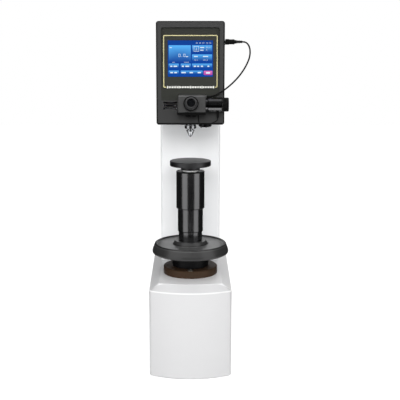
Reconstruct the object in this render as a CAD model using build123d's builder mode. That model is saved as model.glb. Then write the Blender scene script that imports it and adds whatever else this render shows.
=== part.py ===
"""Bench hardness tester with a ball indenter, a measuring eyepiece and a screw-raised anvil.

All sizes are in millimetres. +Z is up and Z = 0 is the underside of the base. X = Y = 0 is the
load axis, on which the indenter, the anvil and the elevating screw stand. The operator is at -Y.
"""

import math
import os

from build123d import *

os.makedirs("parts", exist_ok=True)

# Clearances between pieces
running_gap = 0.05  # a shaft turning or sliding in its bore
fixed_gap = 0.03  # a piece that is pushed or screwed home
moving_gap = 0.3  # faces that pass each other

# Base casting
base_width = 216.0
base_front = -153.0  # the foremost point of the bowed front
base_bow = 28.0  # how far the front bows out past its corners
base_corner = 12.0
base_wall = 14.0
base_floor = 16.0
shoulder_height = 233.0  # where the sides end and the bevel begins
deck_rise = 18.0  # from the shoulder up to the deck
deck_thickness = 30.0
deck_front = -126.0
deck_bow = 12.0
deck_corner = 8.0
frame_back = 344.0
foot_chamfer = 2.0

# Column and head castings
column_width = 167.0
column_front = 125.0
column_wall = 12.0
column_edge = 7.0
head_bottom = 668.0
head_top = 921.0
head_front = -40.0  # where the front cover takes over
head_wall = 10.0
head_floor = 12.0
bridge_bottom = 698.0  # inner shelf that carries the load train
bridge_thickness = 18.0
bridge_back = 70.0
cable_way = (100.0, 150.0)  # openings that join the hollow castings, width and depth

# Rear opening and its cover
opening_width = 124.0
opening_bottom = 45.0
opening_top = 625.0
rear_cover_lap = 13.0
rear_cover_thickness = 3.0
rear_cover_corner = 8.0
louvre_size = (76.0, 4.0)
louvre_pitch = 11.0
louvre_count = 9
louvre_centre = 540.0
rear_screw_radius = 2.0
rear_screw_head = (4.2, 2.2)  # radius and height
rear_screw_length = 11.0
rear_screw_inset = 20.0

# Front cover
cover_width = 173.0
cover_bottom = 665.0
cover_top = 925.0
cover_front = -96.0
cover_corner = 6.5
cover_edge = 4.0
cover_wall = 4.0
recess_width = 148.0
recess_bottom = 724.0
recess_top = 909.0
recess_depth = 7.0  # at its top, running out to nothing at its bottom
recess_corner = 6.0
slot_length = 34.0
slot_height = 3.0
slot_centre_x = -51.0
slot_top = 722.0
slot_pitch = 7.8
slot_bows = (-1.6, 0.5, 2.6)  # how far each slot's middle stands above its ends

# Screen, measured along the sloping recess from its lower edge
panel_size = (140.0, 136.0)
panel_centre = 101.0
panel_thickness = 1.2
screen_size = (114.0, 90.5)
screen_centre = 108.0
screen_gap = 0.2
screen_thickness = 2.0
screen_set_back = 0.2
screen_ledge = 3.0
module_size = (126.0, 102.0)
module_thickness = 11.0
board_size = (132.0, 150.0)
board_thickness = 1.6
board_standoff = 4.0
board_drop = 8.0
standoff_radius = 3.0

# Measuring eyepiece
block_left = -31.0
block_right = 38.0
block_bottom = 701.0
block_top = 742.0
block_depth = 40.0
block_bevel = 2.2
ledge_height = 7.0
ledge_overhang = 2.0
eye_x = 1.5
eye_z = 722.0
eye_tilt = 12.0  # degrees that the ocular looks up
eye_flange = (18.5, 5.0)  # radius and length
ring_root_radius = 15.5
ring_tip_radius = 12.6
ring_length = 15.0
ring_ribs = 24
lens_radius = 8.0
lens_thickness = 4.0
optical_boss_radius = 14.0
optical_boss_length = 14.0

# Measuring drum on the right of the eyepiece
drum_radius = 17.5
drum_z = 718.6
drum_offset = 22.0  # in front of the cover's face
drum_flange_radius = 15.0
drum_flange_length = 6.0
barrel_length = 34.0
knob_length = 18.0
knob_edge = 1.6
knob_flutes = 28
flute_radius = 1.1
measuring_screw_radius = 4.0
measuring_screw_tip = 13.0
carriage_travel = 4.0
carriage_left = -14.0
carriage_right = 20.0
carriage_bore_end = 8.5
carriage_depth = 16.0
carriage_height = 26.0
carriage_window = 5.0
button_x = 69.0
button_radius = 5.0
button_height = 7.8
button_proud = 3.5
button_travel = 1.5
lock_knob_radius = 14.0
lock_knob_height = 7.0
lock_knob_flutes = 20
lock_stem_radius = 4.0
lock_stem_length = 5.0

# Plug, strain reliefs and leads
plug_z = 873.0
plug_y = -60.0
socket_radius = 6.0
socket_flange = (8.0, 2.0)
socket_depth = 10.0
plug_radius = 6.6
plug_length = 23.5
plug_ring_length = 10.0
plug_ring_proud = 0.5
boot_length = 20.0
boot_radii = (4.8, 3.0)
signal_lead_radius = 2.0
small_lead_radius = 1.3
relief_radii = (3.7, 2.7)
relief_bottom = 685.0
relief_seat = 3.8  # how deep it stands in the barrel
block_gland = (4.0, 3.0)
block_gland_z = 737.5
block_gland_y = -107.0
lamp_lead_x = 20.0
lamp_lead_y = -112.0
grommet_y = -82.0
grommet_places = (28.0, 40.0)
grommet_flange = (4.2, 1.2)
grommet_radius = 3.0

# Turret under the head
turret_x = 19.5
turret_y = 19.5
turret_radius = 52.0
turret_bottom = 670.0
turret_thickness = 14.0
turret_chamfer = 2.0
axle_radius = 8.0
axle_head = (9.6, 4.5)
objective_radius = 17.5
objective_bottom = 650.0
objective_lens_radius = 9.0
objective_lens_depth = 3.0

# Indenter
shaft_radius = 10.0
shaft_top = 690.0
shaft_head = (13.0, 2.4)
shaft_foot = 655.0
chuck_radius = 15.5
chuck_bottom = 645.0
neck_radius = 8.4
holder_top = 641.0
holder_stem = (6.0, 12.0)
holder_radius = 11.0
holder_tip_radius = 4.6
holder_tip = 624.5
ball_radius = 2.5
ball_bottom = 622.5

# Load train in the head
spindle_radius = 12.0
bush_radius = 17.0
bush_flange = (21.0, 4.0)
cell_bottom = 762.0
cell_radius = 28.0
cell_height = 22.0
crosshead_width = 124.0
crosshead_depth = 60.0
crosshead_height = 22.0
nut_boss = (20.0, 20.0)
rod_inset = 14.0  # from the crosshead's end to the rod's centre
rod_radius = 7.0
rod_seat = 8.0
drive_screw_radius = 10.0
drive_journal_radius = 8.0
drive_screw_foot = 792.0
top_plate_bottom = 856.0
top_plate_thickness = 12.0
motor_radius = 29.0
motor_height = 36.0
motor_flange = (62.0, 8.0)

# Anvil and elevating screw
anvil_radius = 55.0
anvil_rise = 218.0  # its top above the wheel's boss
anvil_thickness = 13.5
anvil_edge = 1.0
anvil_boss = (26.0, 9.0)
anvil_stem = (10.0, 34.0)
screw_radius = 23.0
screw_neck_radius = 16.5
screw_foot = 150.0
keyway_width = 10.0
keyway_depth = 5.0
keyway_top = 350.0

# Telescopic sleeves round the screw
outer_shell = (38.15, 35.5, 98.0)  # outer radius, bore radius and length
outer_drop = 8.5  # from the anvil's boss down to the shell
middle_shell = (34.25, 33.0, 110.0)
middle_rise = 26.0  # its foot above the wheel's boss
inner_shell = (32.0, 30.0, 99.0)
sleeve_roof = 7.0
sleeve_lip = 3.0
sleeve_top_lip = 4.0
sleeve_edge = 1.2

# Handwheel, hub and nut
wheel_radius = 103.5
rim_shoulder_rise = 11.0  # this and the next three are measured up from the wheel's underside
rim_rise = 28.5
web_rise = 15.5
boss_rise = 35.0
rim_top_radius = 95.2
recess_radius = 91.0
web_thickness = 9.0
boss_foot_radius = 47.8
boss_top_radius = 43.0
rim_inner_radius = 84.0
hub_radius = 49.3
hub_height = 34.7
hub_flange = (60.0, 4.0)
nut_radius = 31.0
nut_seat = 4.7  # its foot above the hub's
nut_height = 59.0
boss_bore = 27.0

# Collar and bearing on the deck
collar_radius = 73.0
collar_height = 20.0
collar_edge = 2.0
collar_bore = 26.0
bearing_bore = 28.0
bearing_radius = 39.5
bearing_height = 10.0
bearing_groove = 2.0
key_height = 8.0
key_length = 26.0
collar_screw_circle = 62.0
collar_screw_radius = 4.0
collar_screw_head = (6.5, 8.0)
collar_screw_grip = 12.0
collar_screw_count = 4

# Power module and data socket on the back
module_x = -30.0
module_z = 95.0
inlet_outline = (50.0, 58.0)
inlet_body = (44.0, 50.0, 28.0)
inlet_flange = 3.0
inlet_cavity = (24.0, 16.5, 18.0)
inlet_cavity_z = -12.0
inlet_pin = (4.0, 2.0, 12.0)  # height, thickness and length
inlet_pin_spacing = 7.0
rocker_size = (20.0, 13.0)
rocker_z = 14.0
rocker_pocket = 9.0
rocker_swing = 20.0  # degrees from off, as it stands, to on
rocker_gap = 0.5
rocker_depth = 5.0
rocker_proud = 2.2
data_x = 30.0
data_outline = (31.0, 12.5)
data_shell = (17.0, 8.5, 6.0)
data_depth = 8.0

# Values that follow from the ones above
cover_half = cover_width / 2
block_front = cover_front - block_depth
drum_y = cover_front - drum_offset
barrel_start = block_right + drum_flange_length
barrel_end = barrel_start + barrel_length
knob_start = barrel_end + moving_gap
button_foot = drum_z + drum_radius + button_proud - button_height
deck_height = shoulder_height + deck_rise
deck_underside = deck_height - deck_thickness
bridge_top = bridge_bottom + bridge_thickness
collar_top = deck_height + collar_height
hub_bottom = collar_top + moving_gap
wheel_bottom = hub_bottom + hub_height
rim_shoulder = wheel_bottom + rim_shoulder_rise
rim_top = wheel_bottom + rim_rise
web_bottom = wheel_bottom + web_rise
web_top = web_bottom + web_thickness
boss_top = wheel_bottom + boss_rise
nut_bottom = hub_bottom + nut_seat
nut_top = nut_bottom + nut_height
turret_top = turret_bottom + turret_thickness
crosshead_bottom = cell_bottom + cell_height
crosshead_top = crosshead_bottom + crosshead_height
top_plate_top = top_plate_bottom + top_plate_thickness
rod_x = crosshead_width / 2 - rod_inset
anvil_top = boss_top + anvil_rise
anvil_bottom = anvil_top - anvil_thickness
boss_bottom = anvil_bottom - anvil_boss[1]
outer_top = boss_bottom - outer_drop
roof_bottom = outer_top - sleeve_roof
outer_sleeve = (*outer_shell[:2], outer_top - outer_shell[2], outer_top)
middle_bottom = boss_top + middle_rise
middle_sleeve = (*middle_shell[:2], middle_bottom, middle_bottom + middle_shell[2])
inner_sleeve = (*inner_shell[:2], boss_top, boss_top + inner_shell[2])
cover_back_face = frame_back + rear_cover_thickness
slope = math.degrees(math.atan2(recess_depth, recess_top - recess_bottom))
slope_length = math.hypot(recess_depth, recess_top - recess_bottom)
face_plane = Plane(
    origin=(0, cover_front, recess_bottom),
    x_dir=(1, 0, 0),
    z_dir=(0, -math.cos(math.radians(slope)), math.sin(math.radians(slope))),
)
eye_plane = Plane(
    origin=(eye_x, block_front, eye_z),
    x_dir=(1, 0, 0),
    z_dir=(0, -math.cos(math.radians(eye_tilt)), math.sin(math.radians(eye_tilt))),
)
turret_axis = Axis((turret_x, turret_y, 0), (0, 0, 1))
rear_screw_places = [
    (side * (opening_width + rear_cover_lap) / 2, frame_back, height)
    for height in (
        opening_bottom + rear_screw_inset,
        deck_underside - rear_screw_inset,
        deck_height + rear_screw_inset,
        opening_top - rear_screw_inset,
    )
    for side in (-1, 1)
]
objective_x = 2 * turret_x
inlet_mouth = cover_back_face + inlet_flange
rocker_pivot_y = inlet_mouth - 1.0
rocker_tilt = math.radians(-rocker_swing / 2)


def half_section(*points, plane=Plane.XZ):
    """The closed half section of a turned piece, from (radius, height) points."""
    with BuildSketch(plane) as section:
        with BuildLine():
            Polyline(*points, close=True)
        make_face()
    return section.sketch


def upright(x, y):
    """The plane on which a half section stands for an upright axis at x, y."""
    return Plane(origin=(x, y, 0), x_dir=(1, 0, 0), z_dir=(0, -1, 0))


def disc(radius, plane):
    """A round face."""
    with BuildSketch(plane) as face:
        Circle(radius)
    return face.sketch


def block(width, depth, height, x, y, z):
    """A rectangular prism from its size and the centre of its underside."""
    with BuildPart(mode=Mode.PRIVATE) as prism:
        with Locations((x, y, z)):
            Box(width, depth, height, align=(Align.CENTER, Align.CENTER, Align.MIN))
    return prism.part


def bowed_outline(width, front, back, bow, corner, height):
    """A plan outline with a bowed front, rounded front corners and a straight back."""
    with BuildSketch(Plane.XY.offset(height)) as outline:
        with BuildLine():
            left = (-width / 2, front + bow)
            right = (width / 2, front + bow)
            ThreePointArc(left, (0, front), right)
            Polyline(right, (width / 2, back), (-width / 2, back), left)
        make_face()
        fillet(outline.vertices().group_by(Axis.Y)[0], radius=corner)
    return outline.sketch


def lead(name, points, radius):
    """A free lead: straight runs joined by arcs as large as their two runs allow."""
    corners = [Vector(*p) for p in points]
    radii = []
    for before, here, after in zip(corners, corners[1:], corners[2:]):
        turn = (here - before).get_angle(after - here)
        shorter = min((here - before).length, (after - here).length)
        radii.append(0.45 * shorter / math.tan(math.radians(turn / 2)))
    with BuildPart() as tube:
        with BuildLine() as path:
            FilletPolyline(*corners, radius=radii)
        with BuildSketch(Plane(origin=path.line @ 0, z_dir=path.line % 0)):
            Circle(radius)
        sweep()
    length = path.wire().length
    expected = math.pi * radius**2 * length
    print(
        name,
        "length",
        round(length, 1),
        "tightest radius",
        round(min(radii), 1),
        "volume ratio",
        round(tube.part.volume / expected, 4),
        "radii",
        [round(r, 1) for r in radii],
    )
    return tube


# Base casting: a hollow box with a bowed front and a bevelled shoulder up to the deck
with BuildPart() as base_casting:
    extrude(
        bowed_outline(base_width, base_front, frame_back, base_bow, base_corner, 0),
        amount=shoulder_height,
    )
    chamfer(base_casting.edges().group_by(Axis.Z)[0], length=foot_chamfer)
    loft(
        [
            bowed_outline(
                base_width, base_front, frame_back, base_bow, base_corner, shoulder_height
            ),
            bowed_outline(
                column_width, deck_front, frame_back, deck_bow, deck_corner, deck_height
            ),
        ],
        ruled=True,
    )
    extrude(
        bowed_outline(
            base_width - 2 * base_wall,
            base_front + base_wall,
            frame_back - base_wall,
            base_bow,
            base_corner,
            base_floor,
        ),
        amount=deck_underside - base_floor,
        mode=Mode.SUBTRACT,
    )
    add(
        block(
            opening_width,
            3 * base_wall,
            deck_underside - opening_bottom - base_wall,
            0,
            frame_back,
            opening_bottom,
        ),
        mode=Mode.SUBTRACT,
    )
    add(
        block(
            cable_way[0],
            cable_way[1],
            2 * deck_thickness,
            0,
            (column_front + frame_back) / 2,
            deck_underside - 1,
        ),
        mode=Mode.SUBTRACT,
    )
    extrude(
        disc(bearing_bore, Plane.XY.offset(deck_underside - 1)),
        amount=2 * deck_thickness,
        mode=Mode.SUBTRACT,
    )
    with Locations(Plane.XY.offset(deck_underside)):
        with PolarLocations(collar_screw_circle, collar_screw_count, start_angle=45):
            Cylinder(
                collar_screw_radius + fixed_gap, 3 * deck_thickness, mode=Mode.SUBTRACT
            )
    with Locations(*rear_screw_places[:4]):
        Cylinder(
            rear_screw_radius + fixed_gap,
            2 * rear_screw_length,
            rotation=(90, 0, 0),
            mode=Mode.SUBTRACT,
        )
base_casting.part.label = "base_casting"
export_step(base_casting.part, "parts/base_casting.step")

# Column casting: a hollow upright, open at the back behind the rear cover
with BuildPart() as column_casting:
    with BuildSketch(Plane.XY.offset(deck_height)) as column_outline:
        with Locations((0, (column_front + frame_back) / 2)):
            Rectangle(column_width, frame_back - column_front)
        fillet(column_outline.vertices().group_by(Axis.Y)[0], radius=column_edge)
    extrude(amount=head_bottom - deck_height)
    add(
        block(
            column_width - 2 * column_wall,
            frame_back - column_front - 2 * column_wall,
            2 * head_top,
            0,
            (column_front + frame_back) / 2,
            0,
        ),
        mode=Mode.SUBTRACT,
    )
    add(
        block(
            opening_width,
            3 * column_wall,
            opening_top - deck_height - column_wall,
            0,
            frame_back,
            deck_height + column_wall,
        ),
        mode=Mode.SUBTRACT,
    )
    with Locations(*rear_screw_places[4:]):
        Cylinder(
            rear_screw_radius + fixed_gap,
            2 * rear_screw_length,
            rotation=(90, 0, 0),
            mode=Mode.SUBTRACT,
        )
column_casting.part.label = "column_casting"
export_step(column_casting.part, "parts/column_casting.step")

# Head casting: open in front, with a floor round the turret and a shelf for the load train
with BuildPart() as head_casting:
    add(
        block(
            column_width,
            frame_back - head_front,
            head_top - head_bottom,
            0,
            (head_front + frame_back) / 2,
            head_bottom,
        )
    )
    fillet(
        head_casting.edges().filter_by(Axis.Y).group_by(Axis.Z)[-1], radius=column_edge
    )
    add(
        block(
            column_width - 2 * head_wall,
            frame_back - head_front,
            head_top - head_bottom - head_floor - head_wall,
            0,
            (head_front + frame_back) / 2 - head_wall,
            head_bottom + head_floor,
        ),
        mode=Mode.SUBTRACT,
    )
    add(
        block(
            column_width - 2 * head_wall,
            bridge_back - head_front - head_wall,
            bridge_thickness,
            0,
            (head_front + head_wall + bridge_back) / 2,
            bridge_bottom,
        )
    )
    extrude(
        disc(turret_radius + moving_gap, Plane((turret_x, turret_y, head_bottom - 1))),
        amount=head_floor + 2,
        mode=Mode.SUBTRACT,
    )
    extrude(
        disc(bush_radius + fixed_gap, Plane.XY.offset(bridge_bottom - 1)),
        amount=bridge_thickness + 2,
        mode=Mode.SUBTRACT,
    )
    extrude(
        disc(axle_radius + fixed_gap, Plane((turret_x, turret_y, bridge_bottom - 1))),
        amount=bridge_thickness + 2,
        mode=Mode.SUBTRACT,
    )
    for side in (-1, 1):
        extrude(
            disc(rod_radius + fixed_gap, Plane((side * rod_x, 0, bridge_top - rod_seat))),
            amount=rod_seat + 1,
            mode=Mode.SUBTRACT,
        )
    add(
        block(
            cable_way[0],
            cable_way[1],
            3 * head_floor,
            0,
            (column_front + frame_back) / 2,
            head_bottom - head_floor,
        ),
        mode=Mode.SUBTRACT,
    )
head_casting.part.label = "head_casting"
export_step(head_casting.part, "parts/head_casting.step")

# Rear cover: one sheet over the openings of base and column, with a field of louvres
rear_cover_height = opening_top - opening_bottom + 2 * rear_cover_lap
with BuildPart() as rear_cover:
    with BuildSketch(
        Plane(
            origin=(0, frame_back, opening_bottom - rear_cover_lap + rear_cover_height / 2),
            x_dir=(-1, 0, 0),
            z_dir=(0, 1, 0),
        )
    ):
        RectangleRounded(
            opening_width + 2 * rear_cover_lap, rear_cover_height, rear_cover_corner
        )
    extrude(amount=rear_cover_thickness)
    with Locations(*rear_screw_places):
        Cylinder(
            rear_screw_radius + fixed_gap,
            4 * rear_cover_thickness,
            rotation=(90, 0, 0),
            mode=Mode.SUBTRACT,
        )
    for row in range(louvre_count):
        height = louvre_centre + (row - (louvre_count - 1) / 2) * louvre_pitch
        add(
            block(
                louvre_size[0],
                4 * rear_cover_thickness,
                louvre_size[1],
                0,
                frame_back,
                height - louvre_size[1] / 2,
            ),
            mode=Mode.SUBTRACT,
        )
    add(
        block(
            inlet_body[0] + 2 * fixed_gap,
            4 * rear_cover_thickness,
            inlet_body[1] + 2 * fixed_gap,
            module_x,
            frame_back,
            module_z - inlet_body[1] / 2 - fixed_gap,
        ),
        mode=Mode.SUBTRACT,
    )
    add(
        block(
            data_shell[0] + 2 * fixed_gap,
            4 * rear_cover_thickness,
            data_shell[1] + 2 * fixed_gap,
            data_x,
            frame_back,
            module_z - data_shell[1] / 2 - fixed_gap,
        ),
        mode=Mode.SUBTRACT,
    )
rear_cover.part.label = "rear_cover"
export_step(rear_cover.part, "parts/rear_cover.step")

# Round-headed screws that hold the rear cover
with BuildPart() as rear_cover_screws:
    for place in rear_screw_places:
        with BuildSketch(
            Plane(
                origin=(place[0], frame_back - rear_screw_length, place[2]),
                z_dir=(0, 1, 0),
            ),
            mode=Mode.PRIVATE,
        ) as shank:
            Circle(rear_screw_radius)
        extrude(shank.sketch, amount=rear_screw_length + rear_cover_thickness)
        with BuildSketch(
            Plane(origin=(place[0], cover_back_face, place[2]), z_dir=(0, 1, 0)),
            mode=Mode.PRIVATE,
        ) as head:
            Circle(rear_screw_head[0])
        extrude(head.sketch, amount=rear_screw_head[1], taper=25)
rear_cover_screws.part.label = "rear_cover_screws"
export_step(rear_cover_screws.part, "parts/rear_cover_screws.step")

# Front cover: a moulded shell with a sloping recess for the screen and three bowed slots
slot_reach = (slot_length - slot_height) / 2
slot_curves = [ThreePointArc((-slot_reach, 0), (0, bow), (slot_reach, 0)) for bow in slot_bows]
with BuildPart() as front_cover:
    with BuildSketch(
        Plane(
            origin=(0, head_front, (cover_bottom + cover_top) / 2),
            x_dir=(1, 0, 0),
            z_dir=(0, -1, 0),
        )
    ):
        RectangleRounded(cover_width, cover_top - cover_bottom, cover_corner)
    extrude(amount=head_front - cover_front)
    fillet(front_cover.faces().sort_by(Axis.Y)[0].edges(), radius=cover_edge)
    with BuildSketch(Plane.YZ.offset(-cover_half + cover_wall)):
        with BuildLine():
            Polyline(
                (head_front + 1, cover_bottom + cover_wall),
                (cover_front + cover_wall, cover_bottom + cover_wall),
                (cover_front + cover_wall, recess_bottom),
                (cover_front + recess_depth + cover_wall, recess_top),
                (cover_front + recess_depth + cover_wall, cover_top - cover_wall),
                (head_front + 1, cover_top - cover_wall),
                close=True,
            )
        make_face()
    extrude(amount=cover_width - 2 * cover_wall, mode=Mode.SUBTRACT)
    with BuildSketch(face_plane):
        with Locations((0, slope_length / 2)):
            RectangleRounded(recess_width, slope_length, recess_corner)
    extrude(amount=2 * recess_depth, mode=Mode.SUBTRACT)
    with BuildSketch(face_plane.offset(-screen_thickness + panel_thickness - screen_set_back)):
        with Locations((0, screen_centre)):
            Rectangle(screen_size[0] + 2 * screen_gap, screen_size[1] + 2 * screen_gap)
    extrude(amount=screen_thickness + recess_depth, mode=Mode.SUBTRACT)
    with BuildSketch(face_plane.offset(-3 * cover_wall)):
        with Locations((0, screen_centre)):
            Rectangle(screen_size[0] - 2 * screen_ledge, screen_size[1] - 2 * screen_ledge)
    extrude(amount=4 * cover_wall, mode=Mode.SUBTRACT)
    for row, slot_curve in enumerate(slot_curves):
        with BuildSketch(
            Plane(
                origin=(slot_centre_x, cover_front - 1, slot_top - row * slot_pitch),
                x_dir=(1, 0, 0),
                z_dir=(0, -1, 0),
            )
        ):
            SlotArc(slot_curve, slot_height)
        extrude(amount=-2 * cover_wall, mode=Mode.SUBTRACT)
    with BuildSketch(
        Plane(origin=(eye_x, cover_front - 1, eye_z), x_dir=(1, 0, 0), z_dir=(0, -1, 0))
    ):
        Circle(optical_boss_radius + fixed_gap)
    extrude(amount=-3 * cover_wall, mode=Mode.SUBTRACT)
    with BuildSketch(Plane(origin=(cover_half + 1, plug_y, plug_z), z_dir=(-1, 0, 0))):
        Circle(socket_radius + fixed_gap)
    extrude(amount=3 * cover_wall, mode=Mode.SUBTRACT)
    for x in grommet_places:
        extrude(
            disc(grommet_radius + fixed_gap, Plane((x, grommet_y, cover_bottom - 1))),
            amount=2 * cover_wall,
            mode=Mode.SUBTRACT,
        )
front_cover.part.label = "front_cover"
export_step(front_cover.part, "parts/front_cover.step")

# Face panel: a thin plate on the floor of the recess, with the screen's window
with BuildPart() as face_panel:
    with BuildSketch(face_plane):
        with Locations((0, panel_centre)):
            RectangleRounded(panel_size[0], panel_size[1], recess_corner / 2)
        with Locations((0, screen_centre)):
            Rectangle(
                screen_size[0] + 2 * screen_gap,
                screen_size[1] + 2 * screen_gap,
                mode=Mode.SUBTRACT,
            )
    extrude(amount=panel_thickness)
face_panel.part.label = "face_panel"
export_step(face_panel.part, "parts/face_panel.step")

# Touch screen: a glass plate in the window, resting on the cover's ledge
with BuildPart() as touch_screen:
    with BuildSketch(face_plane.offset(-screen_thickness + panel_thickness - screen_set_back)):
        with Locations((0, screen_centre)):
            Rectangle(*screen_size)
    extrude(amount=screen_thickness)
touch_screen.part.label = "touch_screen"
export_step(touch_screen.part, "parts/touch_screen.step")

# Display module behind the cover's front wall
with BuildPart() as display_module:
    with BuildSketch(face_plane.offset(-cover_wall - module_thickness)):
        with Locations((0, screen_centre)):
            Rectangle(*module_size)
    extrude(amount=module_thickness)
    chamfer(
        display_module.faces().sort_by(Axis.Y)[-1].edges(), length=module_thickness / 4
    )
display_module.part.label = "display_module"
export_step(display_module.part, "parts/display_module.step")

# Control board on four standoffs behind the display, with its larger components
with BuildPart() as control_board:
    board_face = face_plane.offset(-cover_wall - module_thickness - board_standoff)
    with BuildSketch(board_face):
        with Locations((0, screen_centre - board_drop)):
            Rectangle(*board_size)
    extrude(amount=-board_thickness)
    with BuildSketch(board_face):
        with Locations((0, screen_centre)):
            with GridLocations(module_size[0] - 16, module_size[1] - 16, 2, 2):
                Circle(standoff_radius)
    extrude(amount=board_standoff)
    with BuildSketch(board_face.offset(-board_thickness)):
        with Locations((0, screen_centre - board_drop)):
            with Locations((-30, 30), (20, 35)):
                Rectangle(28, 22)
            with Locations((-25, -40), (30, -30)):
                Rectangle(40, 12)
    extrude(amount=-8)
control_board.part.label = "control_board"
export_step(control_board.part, "parts/control_board.step")

# Eyepiece block: it carries the ocular in front and its optical tube enters the head
with BuildPart() as eyepiece_block:
    add(
        block(
            block_right - block_left,
            block_depth,
            block_top - block_bottom,
            (block_left + block_right) / 2,
            (block_front + cover_front) / 2,
            block_bottom,
        )
    )
    chamfer(
        eyepiece_block.faces().sort_by(Axis.Y)[0].edges().sort_by(Axis.Z)[1:]
        + eyepiece_block.edges().filter_by(Axis.Y).group_by(Axis.Z)[-1],
        length=block_bevel,
    )
    with BuildSketch(
        Plane(origin=(eye_x, cover_front, eye_z), x_dir=(-1, 0, 0), z_dir=(0, 1, 0))
    ):
        Circle(optical_boss_radius)
    extrude(amount=optical_boss_length)
    with BuildSketch(eye_plane.offset(-eye_flange[1])):
        Circle(eye_flange[0])
    extrude(amount=2 * eye_flange[1])
    add(
        block(
            carriage_right - carriage_left + 2 * carriage_travel + 2 * moving_gap,
            carriage_depth + 2 * running_gap,
            carriage_height + moving_gap,
            (carriage_left + carriage_right) / 2,
            drum_y,
            block_bottom,
        ),
        mode=Mode.SUBTRACT,
    )
    with BuildSketch(
        Plane(origin=(block_right + 1, drum_y, drum_z), x_dir=(0, 1, 0), z_dir=(1, 0, 0))
    ):
        Circle(measuring_screw_radius + running_gap)
    extrude(amount=-(block_right - carriage_right), mode=Mode.SUBTRACT)
    with BuildSketch(
        Plane(origin=(eye_x, 0, eye_z), x_dir=(1, 0, 0), z_dir=(0, -1, 0))
    ):
        Circle(carriage_window)
    extrude(amount=-block_front + 2 * eye_flange[1], mode=Mode.SUBTRACT)
    with BuildSketch(
        Plane(
            origin=(block_right, block_gland_y, block_gland_z),
            x_dir=(0, 1, 0),
            z_dir=(1, 0, 0),
        )
    ):
        Circle(block_gland[0])
    extrude(amount=block_gland[1], taper=12)
eyepiece_block.part.label = "eyepiece_block"
export_step(eyepiece_block.part, "parts/eyepiece_block.step")

# Ledge under the eyepiece block, bored for the locking knob's stem
with BuildPart() as eyepiece_ledge:
    add(
        block(
            block_right - block_left + ledge_overhang,
            block_depth + ledge_overhang,
            ledge_height,
            (block_left + block_right - ledge_overhang) / 2,
            (block_front + cover_front - ledge_overhang) / 2,
            block_bottom - ledge_height,
        )
    )
    chamfer(eyepiece_ledge.faces().sort_by(Axis.Y)[0].edges(), length=1)
    extrude(
        disc(
            lock_stem_radius + running_gap,
            Plane((eye_x, drum_y, block_bottom - ledge_height - 1)),
        ),
        amount=lock_stem_length + 1 + moving_gap,
        mode=Mode.SUBTRACT,
    )
eyepiece_ledge.part.label = "eyepiece_ledge"
export_step(eyepiece_ledge.part, "parts/eyepiece_ledge.step")

# Locking knob under the ledge, fluted round its edge
with BuildPart() as lock_knob:
    knob_top = block_bottom - ledge_height - running_gap
    extrude(
        disc(lock_knob_radius, Plane((eye_x, drum_y, knob_top))), amount=-lock_knob_height
    )
    chamfer(lock_knob.edges(), length=1)
    with Locations((eye_x, drum_y, knob_top - lock_knob_height / 2)):
        with PolarLocations(lock_knob_radius + flute_radius / 2, lock_knob_flutes):
            Cylinder(flute_radius, 2 * lock_knob_height, mode=Mode.SUBTRACT)
    extrude(
        disc(lock_stem_radius, Plane((eye_x, drum_y, knob_top))), amount=lock_stem_length
    )
lock_knob.part.label = "lock_knob"
export_step(lock_knob.part, "parts/lock_knob.step")

# Dioptre ring: the ribbed cone that the operator turns to focus, hollow for the lens
with BuildPart() as dioptre_ring:
    with BuildSketch(eye_plane.offset(eye_flange[1] + running_gap)) as ring_root:
        Circle(ring_root_radius)
    with BuildSketch(eye_plane.offset(eye_flange[1] + running_gap + ring_length)):
        Circle(ring_tip_radius)
    loft()
    with BuildSketch(eye_plane.offset(eye_flange[1])):
        Circle(carriage_window)
    extrude(amount=ring_length, mode=Mode.SUBTRACT)
    with BuildSketch(
        eye_plane.offset(eye_flange[1] + running_gap + ring_length - 2 * lens_thickness)
    ):
        Circle(lens_radius + fixed_gap)
    extrude(amount=ring_length, mode=Mode.SUBTRACT)
    with BuildSketch(eye_plane.offset(eye_flange[1] + 2)):
        with PolarLocations(ring_root_radius + flute_radius / 3, ring_ribs):
            Circle(flute_radius)
    extrude(amount=ring_length / 3, mode=Mode.SUBTRACT)
dioptre_ring.part.label = "dioptre_ring"
export_step(dioptre_ring.part, "parts/dioptre_ring.step")

# Eye lens on its seat inside the ring
with BuildPart() as eye_lens:
    with BuildSketch(
        eye_plane.offset(eye_flange[1] + running_gap + ring_length - 2 * lens_thickness)
    ):
        Circle(lens_radius)
    extrude(amount=lens_thickness)
    chamfer(eye_lens.edges(), length=0.6)
eye_lens.part.label = "eye_lens"
export_step(eye_lens.part, "parts/eye_lens.step")


def across(x):
    """A plane that looks to the right, on the drum's axis."""
    return Plane(origin=(x, drum_y, drum_z), x_dir=(0, 1, 0), z_dir=(1, 0, 0))


# Flange between the eyepiece block and the drum
with BuildPart() as drum_flange:
    extrude(disc(drum_flange_radius, across(block_right)), amount=drum_flange_length)
    chamfer(drum_flange.edges().sort_by(Axis.X)[-1], length=1)
    with BuildSketch(across(block_right - 1)):
        Circle(measuring_screw_radius + running_gap)
    extrude(amount=drum_flange_length + 2, mode=Mode.SUBTRACT)
drum_flange.part.label = "drum_flange"
export_step(drum_flange.part, "parts/drum_flange.step")

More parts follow.
